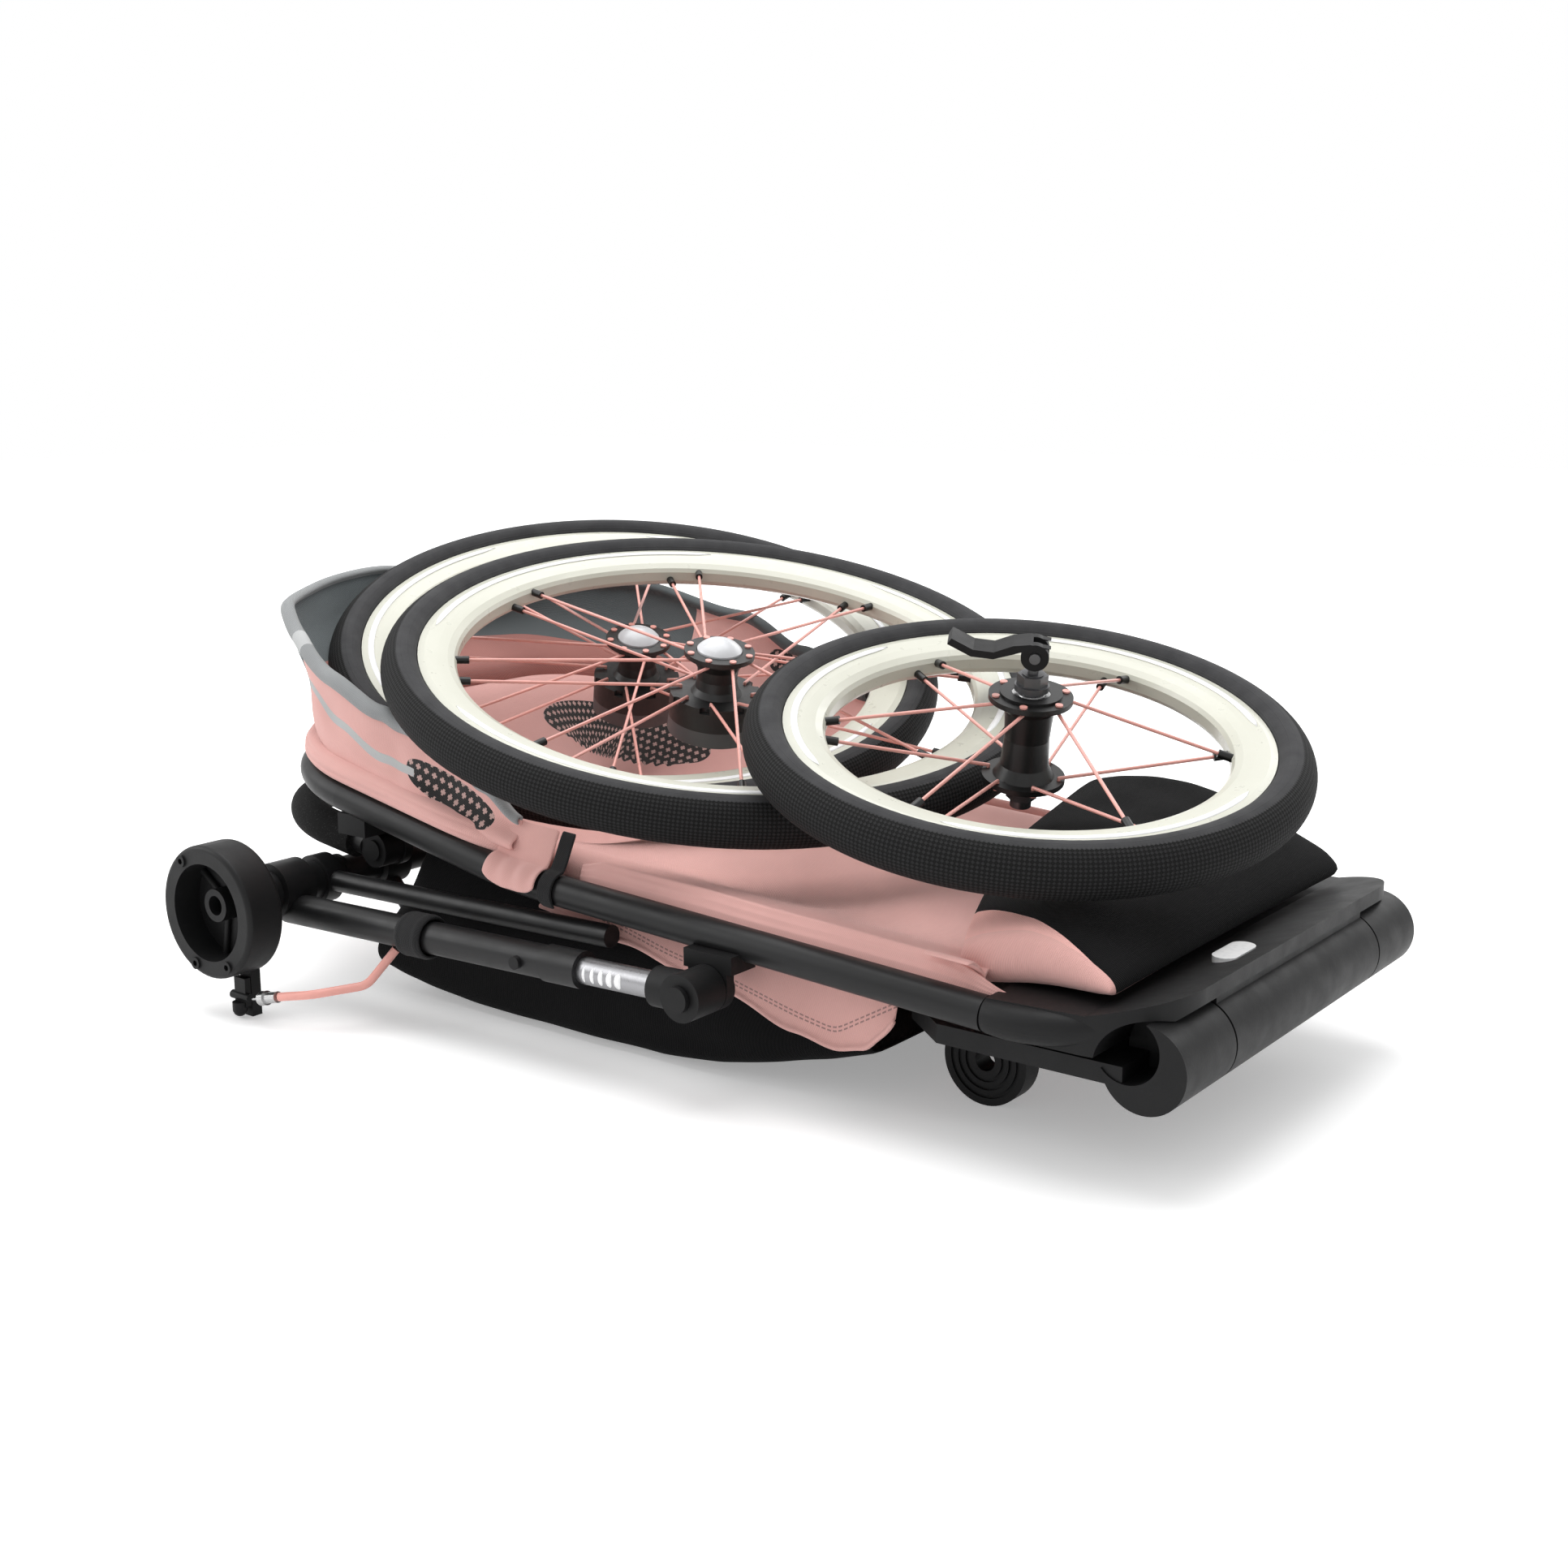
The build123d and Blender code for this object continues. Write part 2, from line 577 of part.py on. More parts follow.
def hood_outline(inset, height, end):
    """Plan outline of the hood at a height: straight sides up to end and a rounded head."""
    rise = (height - hood_low) / (hood_high - hood_low)
    right = 139.0 + rise * 18.0 - inset
    left = 144.0 + rise * 74.0 - inset
    reach = 126.0 + rise * 79.0 - inset
    middle = (left - right) / 2
    half = (left + right) / 2
    steps = [math.radians(angle) for angle in (90, 125, 155, 180, 205, 235, 270)]
    ellipse = [(-200 + reach * math.cos(step), middle + half * math.sin(step)) for step in steps]
    arc = Spline(*ellipse, tangents=((-1, 0), (1, 0)))
    sides = Polyline((-200, -right), (end, -right), (end, left), (-200, left))
    return Pos(0, 0, height) * make_face([arc, sides])


hood = loft([hood_outline(0, hood_low, hood_end), hood_outline(0, hood_high, hood_end)], ruled=True)
open_end = hood_end + 10
low_inside = hood_outline(hood_wall, hood_low - 1, open_end)
hood -= loft([low_inside, hood_outline(hood_wall, hood_high + 1, open_end)], ruled=True)
under_hood = Plane(origin=(kink_x, 0, kink_z + tube_r + 4), z_dir=(head_slope + 0.07, 0, 1))
hood = split(hood, bisect_by=under_hood, keep=Keep.TOP)
room_r = rear_edge_r + tyre_height + hood_room
room_low = -tyre_half - hood_room
room_low_edge = [(0, room_low), (room_r - 20, room_low), (room_r - 7, room_low + 5)]
room_side = [(room_r - 1, -5), (room_r, 0), (room_r, 200), (0, 200)]
hood -= wheel_location("rear_wheel_lower") * turned(room_low_edge + room_side)
rim_corner = (-404, 50, 242)
hood_middle = Plane(origin=rim_corner, z_dir=(0, 1, 0))
right_rim = Plane(origin=rim_corner, z_dir=(0.5, 0.064, 1))
left_rim = Plane(origin=rim_corner, z_dir=(0.246, -0.063, 1))
hood_right = split(hood, bisect_by=hood_middle, keep=Keep.BOTTOM)
hood_left = split(hood, bisect_by=hood_middle, keep=Keep.TOP)
hood = split(hood_right, bisect_by=right_rim, keep=Keep.BOTTOM)
hood += split(hood_left, bisect_by=left_rim, keep=Keep.BOTTOM)
keep("hood", hood)


def ring_section(edge_r, outer, inner):
    """Outer and inner tyre outlines from curves given as (radius past the edge, half width)."""
    lines = []
    for curve in (outer, inner):
        upper = [(edge_r + r, z) for r, z in curve]
        lines.append(upper + [(r, -z) for r, z in reversed(upper[:-1])])
    return lines


def make_tyre(edge_r):
    """Air tyre with an open inside and two beads."""
    outer = [(1.6, 10.4), (9.5, tyre_half), (18.5, 11.3), (tyre_height, 0)]
    inner = [(1.0, 4.8), (9.0, 12.3), (16.3, 8.8), (tyre_height - 3, 0)]
    outside, inside = ring_section(edge_r, outer, inner)
    bead_r = edge_r - 6.7
    bead_z = rim_half - 2.3
    lines = [Spline(*outside), Spline(*inside)]
    for sign in (1, -1):
        corner = [
            (edge_r + 1.6, sign * 10.4),
            (edge_r + 1.3, sign * bead_z),
            (bead_r, sign * bead_z),
            (bead_r, sign * 4.2),
            (edge_r + 1.0, sign * 4.8),
        ]
        lines.append(Polyline(*corner))
    return revolve(Plane.XZ * make_face(lines), axis=Axis.Z)


def make_inner_tube(edge_r):
    """Rubber tube inside the tyre."""
    return Torus(edge_r + 10, 8.8) - Torus(edge_r + 10, 7.4)


def spoke_paths(pairs, edge_r, upper, lower):
    """Points of every spoke; the flanges are given as (hole radius, inner face, outer face)."""
    paths = []
    rim_r = edge_r - rim_depth - 0.5
    for index in range(pairs):
        base = index * 360.0 / pairs
        for flange, sign, start in ((upper, 1, base), (lower, -1, base + nipple_step)):
            hole_r, inner_face, outer_face = flange
            hole = math.radians(start + sign * spoke_twist)
            end = math.radians(start)
            hx = hole_r * math.cos(hole)
            hy = hole_r * math.sin(hole)
            elbow_z = inner_face - sign * (spoke_r + seat_gap)
            head_z = outer_face + sign * 1.0
            rim_point = (rim_r * math.cos(end), rim_r * math.sin(end), sign * 2.5)
            paths.append(((hx, hy, head_z), (hx, hy, elbow_z), rim_point, outer_face))
    return paths


def make_spokes(paths):
    """Bent spokes, each with a head, an elbow and a straight run into its nipple."""
    solids = []
    for head, elbow, rim_point, outer_face in paths:
        spoke = rod(head, elbow, spoke_r)
        spoke += Pos(*elbow) * Sphere(spoke_r)
        spoke += rod(elbow, rim_point, spoke_r)
        clear = outer_face + (0.1 if head[2] > 0 else -0.1)
        spoke += rod((head[0], head[1], clear), head, 2.1)
        solids.append(spoke)
    return solids


def along(path, distance):
    """Point on a spoke's straight run, measured from its rim point towards the rim."""
    elbow = Vector(*path[1])
    rim_point = Vector(*path[2])
    step = (rim_point - elbow).normalized() * distance
    point = rim_point + step
    return (point.X, point.Y, point.Z)


def make_nipples(paths):
    """Nipples that sit in the rim and hold the spoke ends."""
    solids = []
    for path in paths:
        nipple = rod(along(path, -7), along(path, 3), nipple_r)
        nipple -= rod(along(path, -8), along(path, 0.4), spoke_r + run_gap)
        solids.append(nipple)
    return solids


def make_rim(edge_r, paths):
    """Deep rim with a well for the tyre and drilled for the nipples."""
    section = [
        (edge_r + 1, rim_half - 2),
        (edge_r + 1, rim_half),
        (edge_r - 3, rim_half + 0.5),
        (edge_r - 11, rim_half - 0.8),
        (edge_r - 17, rim_half - 2.2),
        (edge_r - 21, rim_half - 4.5),
        (edge_r - rim_depth, rim_half - 7),
    ]
    lower = [(r, -z) for r, z in reversed(section)]
    well = [(edge_r - 7, -rim_half + 2), (edge_r - 7, rim_half - 2)]
    rim = turned(section + lower + well)
    for path in paths:
        rim -= rod(along(path, -6), along(path, 3.3), nipple_r + run_gap)
    return rim


def drill_flanges(hub, paths):
    """Spoke holes in the hub flanges."""
    for head, elbow, rim_point, outer_face in paths:
        hub -= rod(head, elbow, spoke_r + run_gap)
    return hub


def bearing_at(height):
    """Ball bearing drawn as one ring with grooved faces."""
    ring = Cylinder(bearing_out_r, bearing_width) - Cylinder(bearing_in_r, bearing_width + 1)
    groove = Cylinder(9.2, 0.8) - Cylinder(7.4, 1)
    ring -= Pos(0, 0, bearing_width / 2) * groove
    ring -= Pos(0, 0, -bearing_width / 2) * groove
    return Pos(0, 0, height) * ring


def rear_wheel():
    """All pieces of a rear wheel about Z, outer face up."""
    seat_r = bearing_out_r + run_gap
    paths = spoke_paths(8, rear_edge_r, (19.5, 12.5, 15.5), (22.5, -12.7, -15.7))
    hub = turned([
        (14.4, 10.5), (14.4, 15.5), (22, 15.5), (22, 12.5), (17, 12.5), (16.5, 9.5), (12.9, 4), (12.4, -3),
        (13.5, -9), (16, -12.7), (29, -12.7), (29, -38.5), (26, -38.5), (26, -15.7), (13.5, -15.7),
        (13.5, -26), (seat_r, -26), (seat_r, -20.5), (8, -20.5), (8, 4), (seat_r, 4), (seat_r, 10.5),
    ])
    for index in range(8):
        notch = math.radians(index * 45 + nipple_step - spoke_twist - 6)
        hub -= Pos(29 * math.cos(notch), 29 * math.sin(notch), -13.5) * Cylinder(3.2, 5)
    pin = turned([(2.6, 10.2), (pin_r, 10.2), (pin_r, -42), (4, -45), (0, -45), (0, -32), (2.6, -32)])
    button = Cylinder(14, 1.7, align=(Align.CENTER, Align.CENTER, Align.MIN))
    button = Pos(0, 0, 14.8) * button
    dome = Pos(0, 0, 16.5 - 11.06) * Sphere(17.85)
    dome &= Pos(0, 0, 16.5) * Cylinder(20, 20, align=(Align.CENTER, Align.CENTER, Align.MIN))
    button += dome
    button += rod((0, 0, -20), (0, 0, 15), 2.5)
    return {
        "tyre": [make_tyre(rear_edge_r)],
        "inner_tube": [make_inner_tube(rear_edge_r)],
        "rim": [make_rim(rear_edge_r, paths)],
        "spokes": make_spokes(paths),
        "nipples": make_nipples(paths),
        "hub": [drill_flanges(hub, paths)],
        "bearings": [bearing_at(6.7), bearing_at(-23.3)],
        "axle_pin": [pin],
        "button": [button],
    }


lever_z = 54.0


def front_wheel():
    """All pieces of the front wheel about Z, lever side up."""
    seat_r = bearing_out_r + run_gap
    paths = spoke_paths(6, front_edge_r, (20, 26.5, 29.5), (20, -18.5, -21.5))
    hub = turned([
        (seat_r, 31), (17, 31), (17, 29.5), (23, 29.5), (23, 26.5), (17, 26.5), (13.4, 20), (12.4, 4),
        (13.4, -12), (17, -18.5), (23, -18.5), (23, -21.5), (17, -21.5), (17, -23), (seat_r, -23),
        (seat_r, -17), (8, -17), (8, 25), (seat_r, 25),
    ])
    axle = rod((0, 0, -38), (0, 0, 42), pin_r)
    axle += Pos(0, 0, 35.5) * extrude(RegularPolygon(8.5, 6), 6)
    axle += rod((0, 0, 32.5), (0, 0, 35.6), 9.5)
    axle += Pos(0, 0, -33) * extrude(RegularPolygon(8.5, 6), 7)
    axle += rod((0, 0, 42), (0, 0, lever_z), 3.0)
    axle += rod((0, -10, lever_z), (0, 10, lever_z), 3.0)
    lever = cross_bar(0, lever_z, -8.5, 8.5, 7.5)
    under = [(-3, 4.5), (-12, 1), (-22, -2.5), (-34, -2), (-47, 4)]
    over = [(-45, 7.5), (-33, 2), (-22, 1.5), (-12, 6), (-3, 7.5), (8, 6)]
    lever += Pos(0, 0, lever_z) * side_plate(under + over, -8.5, 8.5)
    lever -= cross_bar(0, lever_z, -20, 20, 3.0 + run_gap)
    lever -= block(-9, 30, -3.6, 3.6, lever_z - 9, lever_z + 3.4)
    lever -= block(-1.5, 30, -3.6, 3.6, lever_z - 9, lever_z + 20)
    return {
        "tyre": [make_tyre(front_edge_r)],
        "inner_tube": [make_inner_tube(front_edge_r)],
        "rim": [make_rim(front_edge_r, paths)],
        "spokes": make_spokes(paths),
        "nipples": make_nipples(paths),
        "hub": [drill_flanges(hub, paths)],
        "bearings": [bearing_at(27.9), bearing_at(-19.9)],
        "axle": [axle],
        "lever": [lever],
    }


# Wheels stacked on the seat
wheel_pieces = {
    "rear_wheel_lower": rear_wheel(),
    "rear_wheel_upper": rear_wheel(),
    "front_wheel": front_wheel(),
}
for wheel_name, pieces in wheel_pieces.items():
    for piece, solids in pieces.items():
        keep(wheel_name + "_" + piece, [wheel_location(wheel_name) * solid for solid in solids])

# Move everything so that the origin is under the middle of the whole box, then write the files
boxes = [solid.bounding_box() for solids in nodes.values() for solid in solids]
low = [min(box.min.X for box in boxes), min(box.min.Y for box in boxes), min(box.min.Z for box in boxes)]
high = [max(box.max.X for box in boxes), max(box.max.Y for box in boxes), max(box.max.Z for box in boxes)]
shift = (-(low[0] + high[0]) / 2, -(low[1] + high[1]) / 2, -low[2])
for name, solids in nodes.items():
    moved = [solid.moved(Location(shift)) for solid in solids]
    shape = moved[0] if len(moved) == 1 else Compound(moved)
    export_step(shape, "parts/" + name + ".step")
print("shift", shift, "size", [b - a for a, b in zip(low, high)], "nodes", len(nodes))
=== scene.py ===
"""Looks of the folded three-wheel stroller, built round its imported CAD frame."""

import json
import math

import bmesh
import bpy
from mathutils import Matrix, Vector, noise

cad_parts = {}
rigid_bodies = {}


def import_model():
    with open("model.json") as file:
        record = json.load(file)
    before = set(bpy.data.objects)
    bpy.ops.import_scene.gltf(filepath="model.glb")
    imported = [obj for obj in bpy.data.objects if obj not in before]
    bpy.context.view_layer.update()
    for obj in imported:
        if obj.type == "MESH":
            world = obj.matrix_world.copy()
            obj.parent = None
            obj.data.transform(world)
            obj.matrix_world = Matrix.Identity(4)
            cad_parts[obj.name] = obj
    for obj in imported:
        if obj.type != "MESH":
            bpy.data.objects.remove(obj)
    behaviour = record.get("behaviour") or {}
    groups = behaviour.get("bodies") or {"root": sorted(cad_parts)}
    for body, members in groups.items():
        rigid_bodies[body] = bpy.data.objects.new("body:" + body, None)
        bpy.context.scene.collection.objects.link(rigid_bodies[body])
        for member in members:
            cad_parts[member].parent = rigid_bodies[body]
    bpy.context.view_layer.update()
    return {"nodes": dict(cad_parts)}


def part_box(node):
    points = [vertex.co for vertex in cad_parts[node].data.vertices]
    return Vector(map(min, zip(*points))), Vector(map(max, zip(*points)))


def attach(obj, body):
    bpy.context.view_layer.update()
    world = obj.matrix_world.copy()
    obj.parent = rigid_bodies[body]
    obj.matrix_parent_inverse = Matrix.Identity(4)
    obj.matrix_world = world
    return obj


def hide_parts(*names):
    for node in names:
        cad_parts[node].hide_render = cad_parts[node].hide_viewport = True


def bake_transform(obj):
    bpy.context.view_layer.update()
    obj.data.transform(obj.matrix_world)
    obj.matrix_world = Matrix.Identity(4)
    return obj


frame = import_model()
nodes = frame["nodes"]
scene = bpy.context.scene

# Shapes below are written in the CAD source's own millimetres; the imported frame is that, moved by SHIFT.
# The seat tube bends up to the head at BEND_X, and the struts run back from the fold pins.
TUBE_R = 9.0
HALF_WIDTH = 152.0
HEAD_X = -308.0
FRONT_X, FRONT_Z, FRONT_SLOPE = 222.0, 79.5, 0.0545
BEND_X, BEND_Z, HEAD_SLOPE = -90.0, 96.5, 0.2
FOLD_X, FOLD_Z, STRUT_SLOPE = 62.0, 65.0, 0.0253
STRUT_Y = 179.0
SIDES = ((-1, "right"), (1, "left"))
tube_low, tube_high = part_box("frame_tube")
SHIFT = Vector((tube_low.x * 1000 - (HEAD_X - TUBE_R), (tube_low.y + tube_high.y) * 500, 0))


def at(x, y, z):
    """Point of the CAD source, in millimetres, as a point of the frame in metres."""
    return (Vector((x, y, z)) + SHIFT) / 1000


def frame_height(x):
    """Height of the seat tube's centre line at x."""
    if x > BEND_X:
        return FRONT_Z + (FRONT_X - x) * FRONT_SLOPE
    return BEND_Z + (BEND_X - x) * HEAD_SLOPE


def strut_height(x):
    """Height of a strut's centre line at x."""
    return FOLD_Z + (x - FOLD_X) * STRUT_SLOPE


# Materials


class Paint:
    """One node material with short ways to add and join nodes."""

    def __init__(self, name, color, rough=0.5, metal=0.0, coat=0.0, sheen=0.0, specular=0.5):
        self.material = bpy.data.materials.new(name)
        self.material.use_nodes = True
        self.tree = self.material.node_tree
        self.shader = self.tree.nodes["Principled BSDF"]
        self.set("Base Color", (*color, 1))
        self.set("Roughness", rough)
        self.set("Metallic", metal)
        self.set("Coat Weight", coat)
        self.set("Coat Roughness", 0.15)
        self.set("Sheen Weight", sheen)
        self.set("Specular IOR Level", specular)
        self.place = self.add("ShaderNodeTexCoord").outputs["Object"]

    def set(self, socket, value):
        self.shader.inputs[socket].default_value = value

    def add(self, kind, **settings):
        node = self.tree.nodes.new(kind)
        for key, value in settings.items():
            setattr(node, key, value)
        return node

    def join(self, source, target):
        self.tree.links.new(source, target)

    def put(self, target, value):
        """Feeds a socket from another socket or a plain number."""
        if isinstance(value, bpy.types.NodeSocket):
            self.join(value, target)
        else:
            target.default_value = value

    def math(self, operation, first, second=0.0, third=0.0):
        node = self.add("ShaderNodeMath", operation=operation)
        for socket, value in zip(node.inputs, (first, second, third)):
            self.put(socket, value)
        return node.outputs[0]

    def vector(self, operation, first, second):
        node = self.add("ShaderNodeVectorMath", operation=operation)
        self.put(node.inputs[0], first)
        self.put(node.inputs[1], second)
        return node.outputs["Value"] if operation in ("DOT_PRODUCT", "LENGTH") else node.outputs[0]

    def noise(self, scale, detail):
        node = self.add("ShaderNodeTexNoise")
        self.join(self.place, node.inputs["Vector"])
        node.inputs["Scale"].default_value = scale
        node.inputs["Detail"].default_value = detail
        node.inputs["Roughness"].default_value = 0.55
        return node.outputs["Fac"]

    def cells(self, scale):
        node = self.add("ShaderNodeTexVoronoi")
        self.join(self.place, node.inputs["Vector"])
        node.inputs["Scale"].default_value = scale
        return node.outputs["Distance"]

    def span(self, value, low, high, to_low=0.0, to_high=1.0):
        """Maps a value from low..high to to_low..to_high, held at the ends."""
        node = self.add("ShaderNodeMapRange")
        self.put(node.inputs[0], value)
        for index, number in enumerate((low, high, to_low, to_high)):
            node.inputs[index + 1].default_value = number
        return node.outputs[0]

    def mix(self, factor, first, second):
        """Colour between two colours or sockets."""
        node = self.add("ShaderNodeMix", data_type="RGBA")
        self.put(node.inputs[0], factor)
        for socket, value in ((node.inputs[6], first), (node.inputs[7], second)):
            self.put(socket, (*value, 1) if isinstance(value, tuple) else value)
        return node.outputs[2]

    def shade(self, value):
        self.join(value, self.shader.inputs["Base Color"])

    def gloss(self, value):
        self.join(value, self.shader.inputs["Roughness"])

    def bump(self, height, distance, strength=1.0):
        node = self.add("ShaderNodeBump")
        node.inputs["Strength"].default_value = strength
        node.inputs["Distance"].default_value = distance
        self.join(height, node.inputs["Height"])
        self.join(node.outputs[0], self.shader.inputs["Normal"])


def darker(color, share):
    return tuple(channel * share for channel in color)


def worn(name, color, rough, grain=900.0, grain_height=0.00004, **more):
    """Moulded or painted surface: fine grain, cloudy gloss and a little colour drift."""
    paint = Paint(name, color, rough, **more)
    cloud = paint.noise(14, 4)
    paint.shade(paint.mix(paint.span(cloud, 0.3, 0.7), darker(color, 0.85), darker(color, 1.18)))
    paint.gloss(paint.span(paint.noise(60, 5), 0.25, 0.75, rough - 0.07, rough + 0.07))
    paint.bump(paint.noise(grain, 2), grain_height)
    return paint


def cloth(name, color, pitch=0.0011, contrast=0.82, fold=0.0006, sheen=0.25, specular=0.25):
    """Plain-woven cloth: two thread directions, uneven dye and soft creases."""
    paint = Paint(name, color, 0.85, sheen=sheen, specular=specular)
    split = paint.add("ShaderNodeSeparateXYZ")
    paint.join(paint.place, split.inputs[0])
    turn = 2 * math.pi / pitch
    slant = paint.math("ADD", split.outputs[0], paint.math("MULTIPLY", split.outputs[2], 0.6))
    across = paint.math("ADD", split.outputs[1], paint.math("MULTIPLY", split.outputs[2], 0.8))
    warp = paint.math("SINE", paint.math("MULTIPLY", slant, turn))
    weft = paint.math("SINE", paint.math("MULTIPLY", across, turn))
    weave = paint.math("MULTIPLY", warp, weft)
    dye = paint.span(paint.noise(22, 5), 0.3, 0.7)
    base = paint.mix(dye, darker(color, 0.93), darker(color, 1.06))
    paint.shade(paint.mix(paint.span(weave, -1, 1), darker(color, contrast), base))
    crease = paint.math("MULTIPLY", paint.noise(16, 3), fold * 1000)
    thread = paint.math("MULTIPLY", weave, 0.12)
    paint.bump(paint.math("ADD", crease, thread), 0.001)
    return paint


PINK = (0.86, 0.48, 0.44)
BLACK = (0.008, 0.008, 0.0085)
GREY = (0.30, 0.31, 0.315)
# Middle of each net window of the seat cloth, in metres: along the edge from a front end, and in from it
WINDOW_U, WINDOW_V = 0.478, 0.074

black_tube = worn("black_tube", (0.008, 0.008, 0.0085), 0.42, 1400, 0.00002, specular=0.28)
black_plastic = worn("black_plastic", (0.007, 0.007, 0.0074), 0.5, specular=0.2)
black_gloss = worn(
    "black_gloss", (0.007, 0.007, 0.007), 0.36, 1500, 0.00001, coat=0.05, specular=0.35)
dark_steel = worn("dark_steel", (0.12, 0.12, 0.125), 0.36, 1500, 0.00001, metal=0.9)
grey_plastic = worn("button_plastic", (0.62, 0.63, 0.65), 0.3, 1200, 0.00001, coat=0.3)
pink_paint = worn("pink_paint", (0.78, 0.36, 0.31), 0.3, 1600, 0.00001, coat=0.3)
pink_sleeve = worn("pink_sleeve", (0.80, 0.37, 0.32), 0.38, 1000, 0.00002)
rubber = worn("rubber", (0.02, 0.02, 0.02), 0.8)

steel = Paint("steel", (0.5, 0.5, 0.5), 0.3, metal=1.0)
steel.gloss(steel.span(steel.noise(400, 4), 0.3, 0.7, 0.2, 0.42))
steel.bump(steel.noise(2200, 1), 0.00001)

silver = Paint("silver_tube", (0.30, 0.30, 0.31), 0.34, metal=1.0)
stretch = silver.add("ShaderNodeMapping")
silver.join(silver.place, stretch.inputs[0])
stretch.inputs["Scale"].default_value = (1400, 60, 60)
lines = silver.add("ShaderNodeTexNoise")
silver.join(stretch.outputs[0], lines.inputs["Vector"])
silver.gloss(silver.span(lines.outputs["Fac"], 0.3, 0.7, 0.24, 0.46))
silver.bump(lines.outputs["Fac"], 0.00001)

foam = Paint("grip_foam", (0.01, 0.01, 0.01), 0.92, specular=0.2)
speck = foam.span(foam.cells(700), 0.0, 0.28, 1.0, 0.0)
foam.shade(foam.mix(speck, (0.006, 0.006, 0.006), (0.045, 0.045, 0.046)))
foam.bump(foam.noise(900, 3), 0.00025)

reflector = Paint("reflector", (0.8, 0.81, 0.82), 0.12, coat=0.6)
facets = reflector.cells(420)
facet_tone = reflector.span(facets, 0, 0.6)
reflector.shade(reflector.mix(facet_tone, (0.84, 0.85, 0.86), (0.96, 0.96, 0.96)))
reflector.bump(facets, 0.0001, 0.4)

print_with_painted_glow = Paint("reflective_print_with_painted_glow", (0.86, 0.87, 0.88), 0.35)
# The small emission is painted light: a faint glow on the print.
print_with_painted_glow.set("Emission Color", (1, 1, 1, 1))
print_with_painted_glow.set("Emission Strength", 0.12)
fleck = print_with_painted_glow.span(print_with_painted_glow.noise(3000, 1), 0.4, 0.6)
print_with_painted_glow.shade(print_with_painted_glow.mix(fleck, (0.8, 0.81, 0.82), (0.95, 0.95, 0.95)))
print_with_painted_glow.bump(print_with_painted_glow.cells(2500), 0.00003)

# Each wheel's centre and axle direction, the turn of its spokes in degrees and the radius of its rim's edge
WHEELS = {
    "rear_wheel_lower": ((-194.9, 76.1, 185.8), (0.262, -0.21, 0.942), 37.0, 183.0),
    "rear_wheel_upper": ((-76.8, 16.1, 194.7), (0.227, -0.152, 0.962), 0.0, 183.0),
    "front_wheel": ((155.2, -3.5, 180.5), (0.176, -0.178, 0.968), 30.0, 133.0),
}


def wheel_axes(name):
    """Centre in metres and the three axes of a wheel, the last one along its axle."""
    centre, axis, turn, _ = WHEELS[name]
    up = Vector(axis).normalized()
    first = Vector((1, 0, -axis[0] / axis[2])).normalized()
    second = up.cross(first)
    angle = math.radians(turn)
    x_axis = first * math.cos(angle) + second * math.sin(angle)
    return at(*centre), x_axis, up.cross(x_axis), up


def wheel_place(paint, name):
    """Sockets with the angle, the radius and the height of a point of a wheel, in radians and metres."""
    centre, x_axis, y_axis, up = wheel_axes(name)
    offset = paint.vector("SUBTRACT", paint.place, tuple(centre))
    along_x = paint.vector("DOT_PRODUCT", offset, tuple(x_axis))
    along_y = paint.vector("DOT_PRODUCT", offset, tuple(y_axis))
    height = paint.vector("DOT_PRODUCT", offset, tuple(up))
    angle = paint.math("ARCTAN2", along_y, along_x)
    square_x = paint.math("MULTIPLY", along_x, along_x)
    square_y = paint.math("MULTIPLY", along_y, along_y)
    return angle, paint.math("SQRT", paint.math("ADD", square_x, square_y)), height


def tyre_paint(name):
    """Rubber with a smooth grey sidewall and a fine diamond tread."""
    edge = WHEELS[name][3] / 1000
    crown_r = edge + 0.018
    tread_r = edge + 0.0135
    core_r = edge + 0.0075
    knob_length, knob_width, ring_gap = 0.0024, 0.0044, 0.0042
    paint = Paint(name + "_rubber", (0.03, 0.03, 0.031), 0.75, specular=0.16)
    angle, radius, height = wheel_place(paint, name)
    knobs_round = round(2 * math.pi * crown_r / knob_length)
    along = paint.math("MULTIPLY", angle, knobs_round / 2)
    tilt = paint.math("ARCTAN2", height, paint.math("SUBTRACT", radius, core_r))
    across = paint.math("MULTIPLY", tilt, 0.0155 * 2 * math.pi / knob_width)
    one = paint.math("SINE", paint.math("ADD", along, across))
    two = paint.math("SINE", paint.math("SUBTRACT", along, across))
    knob = paint.span(paint.math("MULTIPLY", one, two), -0.15, 0.25)
    tread = paint.span(radius, tread_r, tread_r + 0.001)
    cloud = paint.span(paint.noise(60, 5), 0.3, 0.7)
    wall = paint.mix(cloud, (0.036, 0.036, 0.038), (0.052, 0.052, 0.054))
    crown = paint.mix(knob, (0.006, 0.006, 0.006), (0.022, 0.022, 0.0225))
    paint.shade(paint.mix(tread, wall, crown))
    rings = paint.math("SINE", paint.math("MULTIPLY", radius, 2 * math.pi / ring_gap))
    ring_height = paint.math("MULTIPLY", paint.span(rings, 0.9, 1.0), 0.15)
    grain = paint.math("MULTIPLY", paint.noise(1100, 2), 0.12)
    wall_height = paint.math("ADD", ring_height, grain)
    on_wall = paint.math("MULTIPLY", paint.math("SUBTRACT", 1.0, tread), wall_height)
    on_tread = paint.math("MULTIPLY", tread, knob)
    paint.bump(paint.math("ADD", on_wall, on_tread), 0.0007)
    return paint


